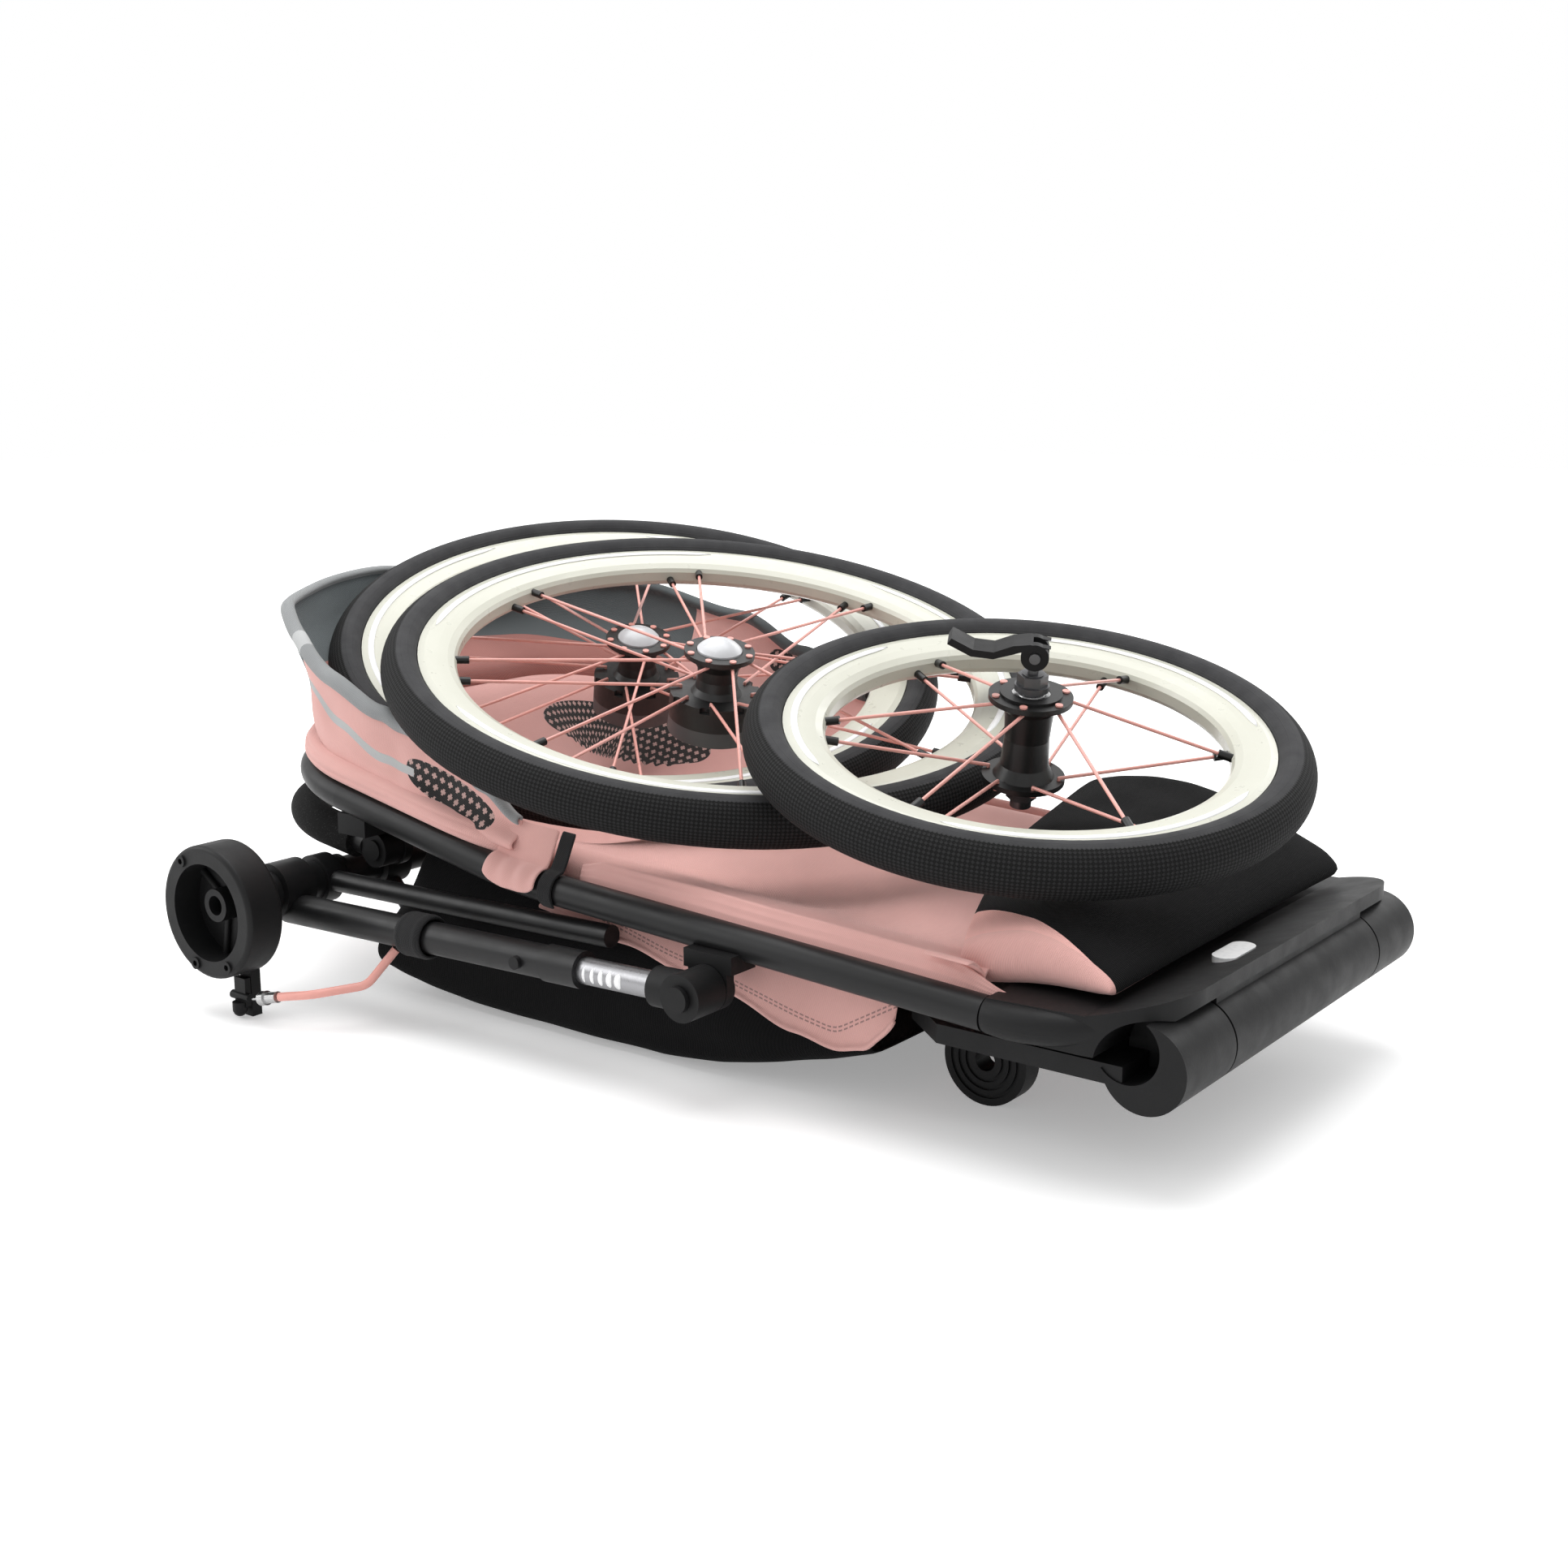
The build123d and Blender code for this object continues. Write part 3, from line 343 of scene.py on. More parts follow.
def rim_paint(name):
    """Glossy cream rim, a little darker and warmer towards its inner edge."""
    edge = WHEELS[name][3] / 1000
    paint = Paint(name + "_cream", (0.61, 0.61, 0.53), 0.3, coat=0.2)
    _, radius, _ = wheel_place(paint, name)
    cloud = paint.span(paint.noise(18, 3), 0.3, 0.7, 0, 0.5)
    depth = paint.math("ADD", paint.span(radius, edge - 0.022, edge - 0.004, 0.5, 0.0), cloud)
    paint.shade(paint.mix(depth, (0.635, 0.635, 0.55), (0.565, 0.565, 0.48)))
    paint.gloss(paint.span(paint.noise(120, 4), 0.3, 0.7, 0.26, 0.4))
    paint.bump(paint.noise(300, 2), 0.00002)
    return paint


def rear_hub_paint(name):
    """Black hub with a dark grey steel drum ring below."""
    paint = Paint(name + "_hub_paint", (0.006, 0.006, 0.006), 0.4, coat=0.05)
    _, _, height = wheel_place(paint, name)
    drum_top = -0.0285
    ring = paint.math("LESS_THAN", height, drum_top)
    paint.shade(paint.mix(ring, (0.0065, 0.0065, 0.0065), (0.075, 0.077, 0.08)))
    paint.gloss(paint.span(paint.noise(160, 4), 0.3, 0.7, 0.36, 0.5))
    paint.bump(paint.noise(1300, 2), 0.00001)
    return paint


PAINTS = {
    black_tube: ["frame_tube", "handlebar_tube", "axle_tube", "carrier_tubes", "leg_struts"],
    silver: ["suspension_tubes"],
    steel: ["fork_hinge_rod", "cable_adjusters"],
    dark_steel: ["front_wheel_axle"],
    black_plastic: ["footrest", "front_fork", "fold_brackets", "handlebar_brackets", "handlebar_joints",
                    "leg_knuckles", "strut_button_right", "strut_button_left", "brake_housings",
                    "brake_arm_right", "brake_arm_left", "parking_pedal", "fold_pins", "front_wheel_lever"],
    black_gloss: ["front_wheel_hub"],
    reflector: ["footrest_reflector"],
    foam: ["handlebar_grip"],
    rubber: ["suspension_elastomers"],
    pink_paint: [],
    pink_sleeve: ["brake_cables"],
    grey_plastic: ["rear_wheel_lower_button", "rear_wheel_upper_button"],
}
for wheel in WHEELS:
    PAINTS[tyre_paint(wheel)] = [wheel + "_tyre"]
    PAINTS[rim_paint(wheel)] = [wheel + "_rim"]
    PAINTS[rubber].append(wheel + "_inner_tube")
    PAINTS[pink_paint].append(wheel + "_spokes")
    PAINTS[black_gloss].append(wheel + "_nipples")
    PAINTS[steel].append(wheel + "_bearings")
    if wheel != "front_wheel":
        PAINTS[rear_hub_paint(wheel)] = [wheel + "_hub"]
        PAINTS[steel].append(wheel + "_axle_pin")


def wear(thing, paint):
    """Gives an object one material."""
    thing.data.materials.clear()
    thing.data.materials.append(paint.material)


for paint, names in PAINTS.items():
    for name in names:
        wear(nodes[name], paint)

grey_cloth = cloth("grey_cloth", GREY)
slate_cloth = cloth("slate_cloth", (0.115, 0.132, 0.137), fold=0.0004, sheen=0.12)
# Dark maroon cloth that stands for shade: painted shade on the lower inside of the hood's head.
painted_shade_maroon = cloth("painted_shade_maroon", (0.42, 0.17, 0.145))
pink_cloth = cloth("pink_cloth", PINK)
COARSE = {"pitch": 0.0016, "contrast": 0.45, "fold": 0.0008, "sheen": 0.02, "specular": 0.08}
WEBBING = {"pitch": 0.0012, "contrast": 0.6, "fold": 0.0002, "sheen": 0.05}
BINDING = {"pitch": 0.0009, "contrast": 0.9, "fold": 0.0003, "sheen": 0.15}
black_weave = cloth("black_weave", BLACK, **COARSE)
black_webbing = cloth("black_webbing", (0.014, 0.014, 0.015), **WEBBING)
grey_binding = cloth("grey_binding", (0.55, 0.56, 0.56), **BINDING)


def offset_along(paint, origin, direction):
    """Socket with the distance in metres from a point of the CAD source along a direction."""
    step = paint.vector("SUBTRACT", paint.place, tuple(at(*origin)))
    return paint.vector("DOT_PRODUCT", step, tuple(Vector(direction).normalized()))


def crosses(paint, u, v, pitch=0.0062, arm=0.0019, half=0.0008):
    """Staggered rows of small crosses, one where a cross is and nought elsewhere."""
    row = paint.math("DIVIDE", v, pitch)
    shift = paint.math("MULTIPLY", paint.math("PINGPONG", paint.math("FLOOR", row), 1.0), 0.5)
    column = paint.math("ADD", paint.math("DIVIDE", u, pitch), shift)

    def from_middle(value):
        """Distance in metres from the middle of a cell."""
        part = paint.math("SUBTRACT", paint.math("FRACT", value), 0.5)
        return paint.math("MULTIPLY", paint.math("ABSOLUTE", part), pitch)

    a, b = from_middle(column), from_middle(row)
    wide = paint.math("MULTIPLY", paint.math("LESS_THAN", a, arm), paint.math("LESS_THAN", b, half))
    tall = paint.math("MULTIPLY", paint.math("LESS_THAN", a, half), paint.math("LESS_THAN", b, arm))
    return paint.math("MAXIMUM", wide, tall)


def reach_share(paint, value, size, power):
    """Share of the way from a window's middle to its edge, raised to a power."""
    return paint.math("POWER", paint.math("ABSOLUTE", paint.math("DIVIDE", value, size)), power)


def window(paint, centre, along, across, length, height):
    """Rounded mesh window: a factor that is one inside it, and its cross pattern."""
    u = offset_along(paint, centre, along)
    v = offset_along(paint, centre, across)
    a = reach_share(paint, u, length, 2.6)
    b = reach_share(paint, v, height, 2.6)
    return paint.math("LESS_THAN", paint.math("ADD", a, b), 1.0), crosses(paint, u, v)


def add_window(paint, color, inside, print_mark):
    """Puts a mesh window over a colour: black net with a pale print."""
    net = paint.mix(print_mark, (0.012, 0.011, 0.011), (0.55, 0.36, 0.33))
    return paint.mix(inside, color, net)


def cloth_color(paint):
    """Socket that now feeds the base colour."""
    return paint.shader.inputs["Base Color"].links[0].from_socket


seat_paint = cloth("seat_cloth", PINK)
cut = seat_paint.add("ShaderNodeSeparateXYZ")
seat_paint.join(seat_paint.add("ShaderNodeUVMap", uv_map="cut").outputs[0], cut.inputs[0])
from_middle = seat_paint.math("SUBTRACT", cut.outputs[0], WINDOW_U)
from_line = seat_paint.math("SUBTRACT", cut.outputs[1], WINDOW_V)
bow = seat_paint.math("MULTIPLY", seat_paint.math("MULTIPLY", from_middle, from_middle), 1.1)
net_u = reach_share(seat_paint, from_middle, 0.1, 2.2)
net_v = reach_share(seat_paint, seat_paint.math("ADD", from_line, bow), 0.024, 2.2)
inside = seat_paint.math("LESS_THAN", seat_paint.math("ADD", net_u, net_v), 1.0)
print_mark = crosses(seat_paint, from_middle, from_line)
seat_paint.shade(add_window(seat_paint, cloth_color(seat_paint), inside, print_mark))

hood_paint = cloth("hood_cloth", PINK)
hood_color = cloth_color(hood_paint)
for centre, along, length, height in (
    ((-147, -148, 138), (0.93, 0, -0.36), 0.037, 0.0095),
    ((-132, 180, 168), (0.93, 0, -0.3), 0.034, 0.009),
):
    outward = offset_along(hood_paint, (0, 0, 0), (0, centre[1], 0))
    on_side = hood_paint.math("GREATER_THAN", outward, 0.06)
    inside, print_mark = window(hood_paint, centre, along, (-along[2], 0, along[0]), length, height)
    inside = hood_paint.math("MULTIPLY", inside, on_side)
    hood_color = add_window(hood_paint, hood_color, inside, print_mark)
hood_paint.shade(hood_color)

pad_paint = cloth("pad_top", BLACK, **COARSE)
past_fold = offset_along(pad_paint, (190, -110, 0), (0.3, 1, 0))
turned = pad_paint.math("LESS_THAN", past_fold, 0.0)
pad_paint.shade(pad_paint.mix(turned, cloth_color(pad_paint), PINK))

flap_paint = cloth("flap_cloth", PINK)
FLAP_TIP = (125, 0, 38.5)
STITCH_PITCH = 0.0034
lower_edge = offset_along(flap_paint, FLAP_TIP, (0.2, 0, 0.98))
end_edge = offset_along(flap_paint, FLAP_TIP, (-0.5, 0, 0.86))
rim_distance = flap_paint.math("SMOOTH_MIN", lower_edge, end_edge, 0.006)
stitch_run = flap_paint.math("DIVIDE", offset_along(flap_paint, (0, 0, 0), (1, 0, 0)), STITCH_PITCH)
dash = flap_paint.math("LESS_THAN", flap_paint.math("FRACT", stitch_run), 0.68)
stitches = None
for distance in (0.0062, 0.0082):
    gap = flap_paint.math("ABSOLUTE", flap_paint.math("SUBTRACT", rim_distance, distance))
    line = flap_paint.math("MULTIPLY", flap_paint.math("LESS_THAN", gap, 0.00042), dash)
    stitches = line if stitches is None else flap_paint.math("MAXIMUM", stitches, line)
flap_paint.shade(flap_paint.mix(stitches, cloth_color(flap_paint), darker(PINK, 0.42)))


# Soft pieces


def mesh_object(name, points, faces):
    """Object in the scene from points in metres and faces of their numbers."""
    mesh = bpy.data.meshes.new(name)
    mesh.from_pydata(points, [], faces)
    thing = bpy.data.objects.new(name, mesh)
    scene.collection.objects.link(thing)
    return thing


def ribbon(first, count):
    """Faces of a strip whose points come in pairs, from point number first on."""
    starts = [first + 2 * step for step in range(count)]
    return [(a, a + 1, a + 3, a + 2) for a in starts]


def grid(name, rows, closed=False):
    """Object from rows of points in millimetres of the CAD source; closed joins the ends of each row."""
    count = len(rows[0])
    faces = []
    for row in range(len(rows) - 1):
        for column in range(count if closed else count - 1):
            after = (column + 1) % count
            start = row * count
            faces.append((start + column, start + after, start + count + after, start + count + column))
    return mesh_object(name, [at(*point) for row in rows for point in row], faces)


def bake(thing):
    """Applies the object's modifiers to its mesh and shades it smooth."""
    evaluated = thing.evaluated_get(bpy.context.evaluated_depsgraph_get())
    mesh = bpy.data.meshes.new_from_object(evaluated)
    thing.modifiers.clear()
    thing.data = mesh
    for face in mesh.polygons:
        face.use_smooth = True


def sew(thing, body, paints, nodes_replaced=(), thick=0.0, rounds=1, weld=False):
    """Finishes a cloth piece: materials, thickness in millimetres, smoothing and the body that carries it."""
    for paint in paints:
        thing.data.materials.append(paint.material)
    shape = bmesh.new()
    shape.from_mesh(thing.data)
    if weld:
        bmesh.ops.remove_doubles(shape, verts=shape.verts, dist=0.0002)
    bmesh.ops.recalc_face_normals(shape, faces=shape.faces)
    shape.to_mesh(thing.data)
    shape.free()
    if thick:
        layer = thing.modifiers.new("thickness", "SOLIDIFY")
        layer.thickness = thick / 1000
        layer.offset = 0.0
        layer.use_even_offset = True
    if rounds:
        smooth = thing.modifiers.new("smooth", "SUBSURF")
        smooth.levels = smooth.render_levels = rounds
    bake(thing)
    if body == "hood":
        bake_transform(thing)
    else:
        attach(thing, body)
    if nodes_replaced:
        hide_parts(*nodes_replaced)
    return thing


def ease(value, low, high):
    """Smooth step from nought at low to one at high."""
    share = min(max((value - low) / (high - low), 0.0), 1.0)
    return share * share * (3 - 2 * share)


def read(table, value):
    """Smooth reading of a table of (value, numbers...) rows."""
    if value <= table[0][0]:
        return table[0][1:]
    for first, second in zip(table, table[1:]):
        if value <= second[0]:
            share = ease(value, first[0], second[0])
            return tuple(a + (b - a) * share for a, b in zip(first[1:], second[1:]))
    return table[-1][1:]


def between(table, value):
    """Straight-line reading of a table of (value, numbers...) rows."""
    for first, second in zip(table, table[1:]):
        if value <= second[0] + 0.001:
            share = (value - first[0]) / (second[0] - first[0])
            return [a + (b - a) * share for a, b in zip(first[1:], second[1:])]


def ripple(x, y, z, size, height):
    """Small uneven swell, the same every run."""
    return height * noise.noise(Vector((x, y, z)) / size)


# Seat cover: a hammock that rolls over the tubes at the head and sags between them.
# Its section, as distances in from the tube's centre line and heights over it, at the front and at the head.
FRONT_EDGE = [(11, 5), (11.3, 7), (11.6, 9), (12, 11), (12.6, 12.8), (14, 14.6), (16, 16), (19, 17),
              (24, 17.2), (31, 15.5), (42, 11.5), (60, 8.5), (95, 7), (152, 6)]
HEAD_EDGE = [(-1.5, 9.6), (-5, 10.6), (-5.6, 12.4), (-3.6, 13.6), (-5.2, 15), (-4.8, 17.2), (-2.6, 18.2),
             (-3, 20), (1, 22), (7, 22.5), (15, 19), (26, 11.5), (60, -14), (152, -27)]
CORNER_R = 75.0
SEAT_FRONT = 214.0
SPINE_END = -170.0
ROLL_REACH = 60.0
CREASE = (112, -92)
LINING_FROM = 9


def seat_path():
    """Points and inward directions along the tube, from the right front round the head to the left front."""
    corner_x = HEAD_X + CORNER_R
    corner_y = HALF_WIDTH - CORNER_R
    right = []
    straight_steps, corner_steps, head_steps = 46, 12, 7
    for step in range(straight_steps):
        x = SEAT_FRONT + (corner_x - SEAT_FRONT) * step / straight_steps
        right.append(((x, -HALF_WIDTH), (0.0, 1.0)))
    for step in range(corner_steps + 1):
        angle = math.radians(270 - 90 * step / corner_steps)
        out_x, out_y = math.cos(angle), math.sin(angle)
        point = (corner_x + CORNER_R * out_x, -corner_y + CORNER_R * out_y)
        right.append((point, (-out_x, -out_y)))
    for step in range(1, head_steps + 1):
        right.append(((HEAD_X, -corner_y + corner_y * step / head_steps), (1.0, 0.0)))
    left = [((x, -y), (nx, -ny)) for (x, y), (nx, ny) in reversed(right[:-1])]
    return right + left


seat_rows = []
for (x, y), (inward_x, inward_y) in seat_path():
    head = ease(x, -60, -150)
    spine_x = max(x, SPINE_END)
    row = []
    for (front_d, front_z), (head_d, head_z) in zip(FRONT_EDGE, HEAD_EDGE):
        d = front_d + (head_d - front_d) * head
        lift = front_z + (head_z - front_z) * head
        near = min(d, ROLL_REACH)
        px, py = x + inward_x * near, y + inward_y * near
        far = max(d - ROLL_REACH, 0.0) / (HALF_WIDTH - ROLL_REACH)
        px, py = px + (spine_x - px) * far, py - py * far
        z = frame_height(px) + lift + ripple(px, py, 0, 45, 2.2) * ease(d, 20, 60)
        off_crease = (px - CREASE[0]) * 0.96 + (py - CREASE[1]) * -0.28
        crease_z = 3.2 if y < 0 else 0.96
        z += crease_z * math.exp(-((off_crease / 9) ** 2)) * ease(d, 18, 34) * ease(x, 40, 100)
        row.append((px, py, z))
    seat_rows.append(row)
seat = grid("seat_cover_cloth", seat_rows)


def lengths(points):
    """Distance along a line of plan points, in metres, at each of them."""
    gone = [0.0]
    for first, second in zip(points, points[1:]):
        gone.append(gone[-1] + math.dist(first, second) / 1000)
    return gone


columns = len(FRONT_EDGE)
edge_run = lengths([point for point, _ in seat_path()])
edge_in = lengths(HEAD_EDGE)
cut_map = seat.data.uv_layers.new(name="cut")
for face in seat.data.polygons:
    for corner in face.loop_indices:
        row, column = divmod(seat.data.loops[corner].vertex_index, columns)
        cut_map.data[corner].uv = (min(edge_run[row], edge_run[-1] - edge_run[row]), edge_in[column])
    face.material_index = 1 if face.index % (columns - 1) >= LINING_FROM else 0
sew(seat, "seat_frame", [pink_cloth, seat_paint], ["seat_cover"], thick=1.8, weld=True)

# Edge trims: ribbed strips that hold the cover in the tubes, with a cloth clip near the front
RIBS = [(-5.2, -6.0), (-5.6, -3.4), (-4.9, -2.2), (-4.4, -0.6), (-4.6, 1.2), (-3.4, 2.2), (-3.0, 3.8),
        (-3.1, 5.4), (-1.8, 6.4), (-1.4, 8.0), (-1.4, 9.4), (0.4, 10.2), (2.2, 9.2), (2.0, 4.0), (0.5, -2.0),
        (-1.0, -6.0)]
TRIM_BACK, TRIM_LENGTH, TRIM_STEPS = -47, 280, 52
CLIP = [(1, 13.8, 4.6), (0.8, 13.6, 8.0), (0.6, 13.0, 12.0), (0.4, 11.8, 15.5), (0.2, 9.5, 19.0),
        (0, 5.5, 22.0), (0, 2.0, 20.5)]
CLIP_BACK, CLIP_LENGTH, CLIP_STEPS = 184, 27, 8
for side, label in SIDES:
    rows = []
    for step in range(TRIM_STEPS + 1):
        x = TRIM_BACK + TRIM_LENGTH * step / TRIM_STEPS
        z = frame_height(x) + TUBE_R - 4.5 + ripple(x, 0, side, 60, 0.5)
        size = 1 - 0.75 * ease(step, 44, TRIM_STEPS) - 0.3 * ease(-step, -3, 0)
        middle_y = HALF_WIDTH - 9.5
        rows.append([(x, side * (middle_y - across * size), z + (up + 6) * size) for across, up in RIBS])
    trim = grid("seat_edge_trim_" + label, rows, closed=True)
    sew(trim, "seat_frame", [pink_cloth], ["seat_edge_trims"])
    rows = []
    for step in range(CLIP_STEPS + 1):
        x = CLIP_BACK + CLIP_LENGTH * step / CLIP_STEPS
        base_z = frame_height(x)
        skew = 4.0 * step / CLIP_STEPS
        fold = 0.8 * math.sin(step * 1.1)
        rows.append([(x + skew * k, side * (HALF_WIDTH - across - fold * k), base_z + up)
                     for k, across, up in CLIP])
    clip = grid("trim_clip_" + label, rows)
    sew(clip, "seat_frame", [pink_cloth], thick=1.6)

# Hood: one sheet round the head end, spread by the wheel, with a rolled hem on its rim.
# Shares of the way round from the right end to the left one, with heights of its root, its strip and its rim.
HOOD_EDGES = [
    (0.0, 112, 119, 128), (0.06, 115, 126, 146), (0.13, 124, 134, 163), (0.21, 131, 145, 174),
    (0.25, 135, 149, 180), (0.29, 147, 166, 196), (0.33, 158, 185, 214), (0.37, 161, 190, 227),
    (0.475, 162, 192, 235), (0.55, 160, 188, 221), (0.62, 152, 178, 217), (0.7, 134, 160, 199),
    (0.85, 121, 140, 180), (1.0, 113, 120, 156)]
HEM_R = 4.5
HEM_TURNS = (30, 75, 120, 165, 210, 250)
RIGHT_END_X, TURN_X, LEFT_END_X = -94, -200, -70
TURN_START, TURN_END = 0.25, 0.7
ROOT_IN = 2.0


def hood_side_x(t):
    """Place along a straight side of the hood, or nothing on its turn."""
    if t < TURN_START:
        return RIGHT_END_X + (TURN_X - RIGHT_END_X) * t / TURN_START
    if t > TURN_END:
        return TURN_X + (LEFT_END_X - TURN_X) * (t - TURN_END) / (1 - TURN_END)
    return None


def turn_share(t):
    """Share of the hood's turn that is gone."""
    return (t - TURN_START) / (TURN_END - TURN_START)


def hood_place(t, z):
    """Plan point of the hood wall at a share of the way round and a height."""
    rise = (z - 111.0) / 125.0
    right = 139.0 + rise * 18.0
    left = 144.0 + rise * 74.0
    reach = 123.0 + rise * 78.0
    x = hood_side_x(t)
    if x is not None:
        return x, -right if t < TURN_START else left
    angle = math.radians(270 - 180 * turn_share(t))
    return TURN_X + reach * math.cos(angle), (left - right) / 2 + (left + right) / 2 * math.sin(angle)


def hood_root(t):
    """Plan point on the outer side of the seat's roll at a share of the way round the hood."""
    x = hood_side_x(t)
    if x is not None:
        return x, (HALF_WIDTH - ROOT_IN) * (-1 if t < TURN_START else 1)
    corner_x, corner_y = HEAD_X + CORNER_R, HALF_WIDTH - CORNER_R
    straight = TURN_X - corner_x
    quarter = math.pi * CORNER_R / 2
    radius = CORNER_R - ROOT_IN
    gone = turn_share(t) * 2 * (straight + quarter + corner_y)
    if gone < straight:
        return TURN_X - gone, -HALF_WIDTH + ROOT_IN
    gone -= straight
    if gone < quarter:
        angle = math.radians(270) - gone / CORNER_R
        return corner_x + radius * math.cos(angle), -corner_y + radius * math.sin(angle)
    gone -= quarter
    if gone < 2 * corner_y:
        return HEAD_X + ROOT_IN, -corner_y + gone
    gone -= 2 * corner_y
    if gone < quarter:
        angle = math.radians(180) - gone / CORNER_R
        return corner_x + radius * math.cos(angle), corner_y + radius * math.sin(angle)
    return corner_x + gone - quarter, HALF_WIDTH - ROOT_IN


HOOD_STEPS = 130
HOOD_LEVELS = [0, 0.25, 0.5, 0.75, 1.0, 1.2, 1.32, 1.44, 1.56, 1.68, 1.8, 1.9, 2.0]
STRIP_LEVEL = HOOD_LEVELS.index(1.0)
hood_rows = []
for step in range(HOOD_STEPS + 1):
    t = step / HOOD_STEPS
    root_z, strip_z, high_z = read(HOOD_EDGES, t)
    ahead = hood_place(min(t + 0.01, 1), high_z)
    behind = hood_place(max(t - 0.01, 0), high_z)
    out = Vector((behind[1] - ahead[1], ahead[0] - behind[0], 0)).normalized()
    root = hood_root(t)
    row = []
    for level in HOOD_LEVELS:
        if level < 1:
            z = root_z + (strip_z - root_z) * level
        else:
            z = strip_z + (high_z - strip_z) * (level - 1)
        x, y = hood_place(t, z)
        hold = 1 - ease(level, 0.35, 1.45)
        x, y = x + (root[0] - x) * hold, y + (root[1] - y) * hold
        swell = 1.5 * math.sin(math.pi * level / 2)
        if level > 1.2:
            swell += 1.5 * math.sin(math.pi * (level - 1.2) / 0.8) * ease(t, 0.28, 0.36)
        crumple = ripple(x, y, z, 14, 1.2) if t < 0.3 else 0.0
        swell += (ripple(x, y, z, 38, 2.0) + crumple) * ease(level, 0, 0.6)
        row.append((x + out.x * swell, y + out.y * swell, z))
    hem_r = HEM_R + 2.5 * ease(t, 0.5, 0.6) - 2.0 * ease(-t, -0.06, 0)
    middle = Vector(row[-1]) + out
    for angle in HEM_TURNS:
        turn = math.radians(angle)
        point = middle + out * (-math.cos(turn) * hem_r) + Vector((0, 0, math.sin(turn) * hem_r))
        row.append(tuple(point))
    hood_rows.append(row)
hood = grid("hood_cloth", hood_rows)
hood_paints = [hood_paint, grey_cloth, grey_binding, slate_cloth, painted_shade_maroon]
width = len(hood_rows[0]) - 1
for index, face in enumerate(hood.data.polygons):
    t = (index // width) / HOOD_STEPS
    level = index % width
    paint = hood_paint
    # The far half of the hem, from halfway round, takes the dark slate cloth: painted shade on the same grey
    # hem.
    if level >= len(HOOD_LEVELS) - 1:
        paint = grey_binding if 0.315 < t < 0.33 else grey_cloth if t < 0.5 else slate_cloth
    elif level == STRIP_LEVEL and 0.19 < t < 0.325:
        paint = grey_binding
    elif 0.325 < t < 0.665:
        # Below the strip the head wall takes the dark maroon cloth: painted shade in the gap between the wall
        # and the seat's roll.
        paint = slate_cloth if level >= STRIP_LEVEL else painted_shade_maroon
    face.material_index = hood_paints.index(paint)
sew(hood, "hood", hood_paints, ["hood"], thick=1.8)

# Tabs of the hood over the tubes and the black straps beside them: name, both ends along the tube, degrees
# round it, cloth, thickness, depth of the pleats and flare of the lower edge
TABS = [("hood_tab_", -106.0, -66.0, 104.0, pink_cloth, 1.8, 0.9, 1.5),
        ("hood_strap_", -64.0, -54.0, 150.0, black_webbing, 1.5, 0.0, 0.0)]
TAB_STEPS, TAB_TURNS = 16, 12
TAB_START = -6
TAB_R = TUBE_R + 1.6
for side, label in SIDES:
    for name, x0, x1, reach, paint, thick, pleat_depth, flare_depth in TABS:
        rows = []
        for step in range(TAB_STEPS + 1):
            across = 2 * step / TAB_STEPS - 1
            x = (x0 + x1) / 2 + (x1 - x0) / 2 * across
            base_z = frame_height(x)
            corner = 1 - 0.2 * abs(across) ** 5
            pleat = pleat_depth * math.sin(step * 1.25)
            row = [(x, 140.0, base_z + 31), (x, 143.5, base_z + 25), (x, 146.5, base_z + 18.5)]
            for turn in range(TAB_TURNS + 1):
                share = turn / TAB_TURNS
                angle = math.radians(TAB_START + (reach * corner - TAB_START) * share)
                radius = TAB_R + flare_depth * share ** 3
                if turn > 1:
                    radius += pleat * math.sin(math.pi * share)
                row.append((x, HALF_WIDTH + radius * math.sin(angle), base_z + radius * math.cos(angle)))
            rows.append([(px, side * py, pz) for px, py, pz in row])
        piece = grid(name + label, rows)
        sew(piece, "seat_frame", [paint], ["hood_straps"], thick=thick)

# Calf rest pad: crowned cushion with a black top and a pale right end that is turned over.
# Places along it, with the heights of its top at the right and at the left and of its base.
PAD = [(128, 112, 137, 85), (150, 117, 142, 86.5), (172, 120, 144, 88), (195, 122, 143, 90),
       (220, 120, 138, 91.5), (245, 117, 131, 92.5), (265, 113.5, 124, 93.5), (282, 109, 117, 95.5)]
PAD_START, PAD_FRONT = PAD[0][0], PAD[-1][0]
PAD_HALF = 137.0
PAD_ALONG, PAD_ACROSS, PAD_SIDE = 24, 34, 3
BACK_KNEE = (144, -6)
BACK_LEAST = 124
TURNED_FACES = 4


def pad_back(y):
    """Place of the pad's rear edge, which runs forward to the right and a little back to the left."""
    knee_x, knee_y = BACK_KNEE
    return max(knee_x + 0.41 * max(knee_y - y, 0) - 0.16 * max(y - knee_y, 0), BACK_LEAST)


def pad_side(top, under, side):
    """Points of a bulged end of the pad between its base and its top."""
    points = []
    for step in range(1, PAD_SIDE + 1):
        share = step / (PAD_SIDE + 1)
        y = top[1] + side * 2.5 * math.sin(math.pi * share)
        points.append((top[0], y, under[2] + (top[2] - under[2]) * share))
    return points


